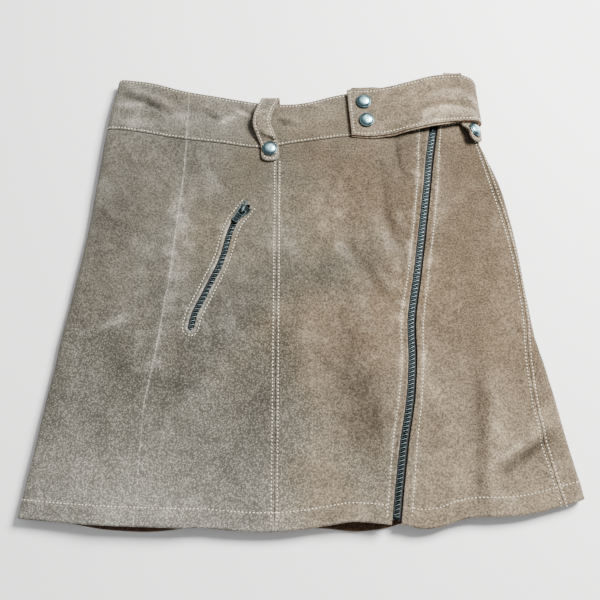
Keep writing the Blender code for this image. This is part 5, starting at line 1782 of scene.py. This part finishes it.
def seam_rows(line, top, foot):
    """Two rows, one on each side of a seam."""
    return [row_down(lambda y, aside=aside: line(y) + aside, top, foot) for aside in (-SEAM_ROW, SEAM_ROW)]


def pocket_row():
    """Down the left of the pocket zip, round its foot and up its right."""
    foot_y = SLOT_FOOT_Y + SLOT_HALF_WIDTH
    y = np.linspace(SLOT_TOP_Y + 1.0, foot_y, 180)
    up, right = POCKET_ZIP.directions(y)
    middle = together(pocket_x(y), y, 0.0)
    left_side = middle - POCKET_ROW * right
    right_side = (middle + POCKET_ROW * right)[::-1]
    angle = np.linspace(np.pi, 2 * np.pi, 40)[1:-1, None]
    foot = middle[-1] + POCKET_ROW * (np.cos(angle) * right[-1] + np.sin(angle) * up[-1])
    path = np.concatenate([left_side, foot, right_side])
    return garment_path(girth_at_x(path[:, 0], path[:, 1]), path[:, 1])


def tab_row():
    """Along the tab's upper edge to its free end, down that, and back along its lower edge."""
    inset = TAB_ROW / TAB_CUT[1]
    run = np.linspace(TAB_ROW_FROM, TAB_FREE_END + TAB_ROW, 260)
    share = np.linspace(inset, 1 - inset, 80)
    end = share[1:-1]
    runs = np.concatenate([run, run[-1] + 0 * end, run[::-1]])
    shares = np.concatenate([share[0] + 0 * run, end, share[-1] + 0 * run])
    point, outward, _, _ = tab_face(runs[None, :], shares[None, :])
    return point[0], outward[0]


def loop_rows(table):
    """Down one side of a loop, round its tip and up the other side."""
    count = len(table.rows) - 1
    along = np.linspace(1.5, count, 400)
    aside = np.linspace(-1, 1, 201)
    face, outward, from_tip, edge, _ = loop_surface(table, along, aside)
    level_aside = np.minimum(np.abs(edge - LOOP_ROW) + 10 * (aside > 0), 99)
    left = np.argmin(level_aside, axis=1)
    rows = np.nonzero(from_tip > LOOP_ROW)[0]
    down = face[rows, left[rows]], outward[rows, left[rows]]
    mirrored = len(aside) - 1 - left
    back = face[rows, mirrored[rows]][::-1], outward[rows, mirrored[rows]][::-1]
    return [(np.concatenate([down[0], back[0]]), np.concatenate([down[1], back[1]]))]


def garment_rows():
    """All rows on the panels and the band."""
    rows = []
    rows += seam_rows(lambda y: girth_at_x(CENTRE_SEAM_X, y), *CENTRE_ROW_ENDS)
    rows += seam_rows(lambda y: seam_girth("side_seam", y), *SIDE_ROW_ENDS)
    rows += seam_rows(under_seam_girth, *UNDER_ROW_ENDS)
    rows += [row_down(beside_zip(side), *ZIP_ROW_ENDS) for side in (-1, 1)]
    rows.append(pocket_row())
    for line, shift in ((hem_line, HEM_ROW), (waist_line, -WAIST_ROW), (band_seam_line, BAND_FOOT_ROW)):
        rows.append(row_round(EDGES["under_seam_before"], beside_zip(-1), line, shift))
        rows.append(row_round(beside_zip(1), EDGES["side_seam_before"], line, shift))
        rows.append(row_round(EDGES["side_seam_after"], EDGES["under_seam_after"], line, shift))
    return rows


# ---------------------------------------------------------------- stage


def add_light(name, power, size, place, target, tint):
    """A square soft light at a place, facing a target, both in metres."""
    light = bpy.data.lights.new(name, "AREA")
    light.energy, light.size, light.color = power, size, tint
    made = bpy.data.objects.new(name, light)
    bpy.context.scene.collection.objects.link(made)
    back = unit(np.array(place) - np.array(target))
    right = unit(np.cross([0.0, 1.0, 0.0], back))
    axes = np.stack([right, np.cross(back, right), back], axis=1)
    matrix = np.eye(4)
    matrix[:3, :3], matrix[:3, 3] = axes, place
    made.matrix_world = Matrix(matrix.tolist())


def add_floor():
    """A plain pale floor just under the garment."""
    corners = ((-1, -1), (1, -1), (1, 1), (-1, 1))
    points = [(x * FLOOR_HALF_WIDTH, y * FLOOR_HALF_WIDTH, FLOOR_LEVEL) for x, y in corners]
    finish = Finish("floor", roughness=0.85)
    finish.shader.inputs["Base Color"].default_value = opaque(settings().stage.floor)
    made = add_piece("floor", points, [(0, 1, 2, 3)], [])
    made.data.materials.append(finish.material)


def add_camera():
    """The camera, tilted back from straight above, seen from beyond the hem."""
    data = bpy.data.cameras.new("camera")
    data.lens, data.sensor_width = settings().stage.lens, 36.0
    made = bpy.data.objects.new("camera", data)
    made.location = CAMERA_PLACE
    made.rotation_euler = (np.radians(CAMERA_TILT), 0.0, 0.0)
    bpy.context.scene.collection.objects.link(made)
    bpy.context.scene.camera = made


def light_sky():
    world = bpy.data.worlds.new("sky")
    world.use_nodes = True
    background = world.node_tree.nodes["Background"]
    background.inputs["Color"].default_value = (0.97, 0.985, 1.0, 1.0)
    background.inputs["Strength"].default_value = settings().stage.sky
    bpy.context.scene.world = world


# ---------------------------------------------------------------- operators


class SKIRT_OT_panels(bpy.types.Operator):
    """Builds the five suede panels below the waistband"""

    bl_idname = "skirt.panels"
    bl_label = "Panels"

    def execute(self, context):
        add_cloth(PANELS, (PANEL_TOP, HEM_SIDE), PANEL_HEIGHT, band_seam_line, hem_line)
        return {"FINISHED"}


class SKIRT_OT_waistband(bpy.types.Operator):
    """Builds the four pieces of the waistband"""

    bl_idname = "skirt.waistband"
    bl_label = "Waistband"

    def execute(self, context):
        add_cloth(BAND_PIECES, (WAIST_SIDE, BAND_FOOT), BAND_HEIGHT, waist_line, band_seam_line)
        return {"FINISHED"}


class SKIRT_OT_tab(bpy.types.Operator):
    """Builds the belt tab's two layers"""

    bl_idname = "skirt.tab"
    bl_label = "Belt tab"

    def execute(self, context):
        add_tab_layer("strap_face", depth=0.0, corner_shows=0.0, step=0.0, inside="suede_inside")
        add_tab_layer("strap_under", TAB_LAYER + SEAM_GAP, TAB_UNDER_SHOWS, TAB_UNDER_STEP, "suede")
        return {"FINISHED"}


class SKIRT_OT_loops(bpy.types.Operator):
    """Builds both belt loops"""

    bl_idname = "skirt.loops"
    bl_label = "Belt loops"

    def execute(self, context):
        add_loop("loop_front", LOOP_FRONT)
        add_loop("loop_side", LOOP_SIDE)
        return {"FINISHED"}


class SKIRT_OT_front_zip(bpy.types.Operator):
    """Builds the slanted front zip"""

    bl_idname = "skirt.front_zip"
    bl_label = "Front zip"

    def execute(self, context):
        add_tapes("zip_main", MAIN_ZIP, TAPE_TOP_Y, TAPE_FOOT_Y, TAPE_HALF_WIDTH, CHAIN_HALF_WIDTH)
        ends = (CHAIN_TOP_Y, CHAIN_FOOT_Y)
        # painted_highlight is the strength of the teeth's painted highlight
        looks = {"shift": TEETH_ASIDE, "painted_highlight": 0.32}
        add_chain("zip_main_teeth", "zip_main_chain", MAIN_ZIP, *ends, TEETH_HALF_WIDTH, **looks)
        add_stop("zip_main_stop", MAIN_ZIP, CHAIN_FOOT_Y - 1.4, CHAIN_HALF_WIDTH, half_length=1.5)
        add_slider("zip_main_slider", MAIN_ZIP, SLIDER_Y, SLIDER_PLAN, rise=0.0)
        sizes = (PULL_LENGTH, PULL_HALF_WIDTH)
        add_pull("zip_main_pull", MAIN_ZIP, SLIDER_Y, *sizes, rise=0.0, body="front_pull")
        return {"FINISHED"}


class SKIRT_OT_pocket_zip(bpy.types.Operator):
    """Builds the pocket zip"""

    bl_idname = "skirt.pocket_zip"
    bl_label = "Pocket zip"

    def execute(self, context):
        ends = (POCKET_TAPE_TOP_Y, POCKET_TAPE_FOOT_Y)
        add_tapes("zip_pocket", POCKET_ZIP, *ends, POCKET_TAPE_HALF_WIDTH, POCKET_CHAIN_HALF_WIDTH)
        ends = (POCKET_CHAIN_TOP_Y, POCKET_CHAIN_FOOT_Y)
        add_chain("zip_pocket_teeth", "zip_pocket_chain", POCKET_ZIP, *ends, POCKET_CHAIN_HALF_WIDTH)
        add_slider("zip_pocket_slider", POCKET_ZIP, POCKET_SLIDER_Y, POCKET_SLIDER_PLAN, POCKET_SLIDER_RISE)
        sizes = (POCKET_PULL_LENGTH, POCKET_PULL_HALF_WIDTH, POCKET_SLIDER_RISE)
        add_pull("zip_pocket_pull", POCKET_ZIP, POCKET_SLIDER_Y, *sizes, body="pocket_pull")
        return {"FINISHED"}


class SKIRT_OT_snaps(bpy.types.Operator):
    """Builds the four snap caps"""

    bl_idname = "skirt.snaps"
    bl_label = "Snap caps"

    def execute(self, context):
        add_snap("snap_strap_upper_cap", *tab_seat(*SNAP_TAB_UPPER))
        add_snap("snap_strap_lower_cap", *tab_seat(*SNAP_TAB_LOWER))
        add_snap("snap_loop_front_cap", *loop_seat(LOOP_FRONT))
        add_snap("snap_loop_side_cap", *loop_seat(LOOP_SIDE))
        return {"FINISHED"}


class SKIRT_OT_stitching(bpy.types.Operator):
    """Sews the rows of topstitching"""

    bl_idname = "skirt.stitching"
    bl_label = "Stitching"

    def execute(self, context):
        add_stitches("stitches_garment", garment_rows())
        add_stitches("stitches_tab", [tab_row()])
        add_stitches("stitches_loops", loop_rows(LOOP_FRONT) + loop_rows(LOOP_SIDE))
        return {"FINISHED"}


class SKIRT_OT_stage(bpy.types.Operator):
    """Sets the floor, the lights and the camera"""

    bl_idname = "skirt.stage"
    bl_label = "Stage"

    def execute(self, context):
        stage = settings().stage
        add_floor()
        light_sky()
        aim = {"place": (0.72, 0.5, 0.98), "target": (0.0, 0.0, 0.0)}
        add_light("key", stage.key, size=0.5, tint=(1.0, 0.985, 0.96), **aim)
        add_camera()
        return {"FINISHED"}


class SKIRT_PT_pieces(bpy.types.Panel):
    """Lists the pieces of the skirt and their settings"""

    bl_idname = "SKIRT_PT_pieces"
    bl_label = "Suede skirt"
    bl_space_type = "VIEW_3D"
    bl_region_type = "UI"
    bl_category = "Skirt"

    def draw(self, context):
        for operator in OPERATORS:
            self.layout.operator(operator.bl_idname)
        look = context.scene.suede_skirt
        for group in (look.suede, look.stitches, look.zips, look.snaps, look.stage):
            box = self.layout.box()
            for name in group.bl_rna.properties.keys():
                if name not in ("rna_type", "name"):
                    box.prop(group, name)


OPERATORS = (
    SKIRT_OT_panels,
    SKIRT_OT_waistband,
    SKIRT_OT_tab,
    SKIRT_OT_loops,
    SKIRT_OT_front_zip,
    SKIRT_OT_pocket_zip,
    SKIRT_OT_snaps,
    SKIRT_OT_stitching,
    SKIRT_OT_stage,
)
GROUPS = (SuedeSettings, StitchSettings, ZipSettings, SnapSettings, StageSettings, SkirtSettings)


def register():
    for made in (*GROUPS, *OPERATORS, SKIRT_PT_pieces):
        bpy.utils.register_class(made)
    bpy.types.Scene.suede_skirt = bpy.props.PointerProperty(type=SkirtSettings)


def unregister():
    del bpy.types.Scene.suede_skirt
    for made in reversed((*GROUPS, *OPERATORS, SKIRT_PT_pieces)):
        bpy.utils.unregister_class(made)


def main():
    register()
    bpy.ops.skirt.panels()
    bpy.ops.skirt.waistband()
    bpy.ops.skirt.tab()
    bpy.ops.skirt.loops()
    bpy.ops.skirt.front_zip()
    bpy.ops.skirt.pocket_zip()
    bpy.ops.skirt.snaps()
    bpy.ops.skirt.stitching()
    bpy.ops.skirt.stage()


if __name__ == "__main__":
    main()
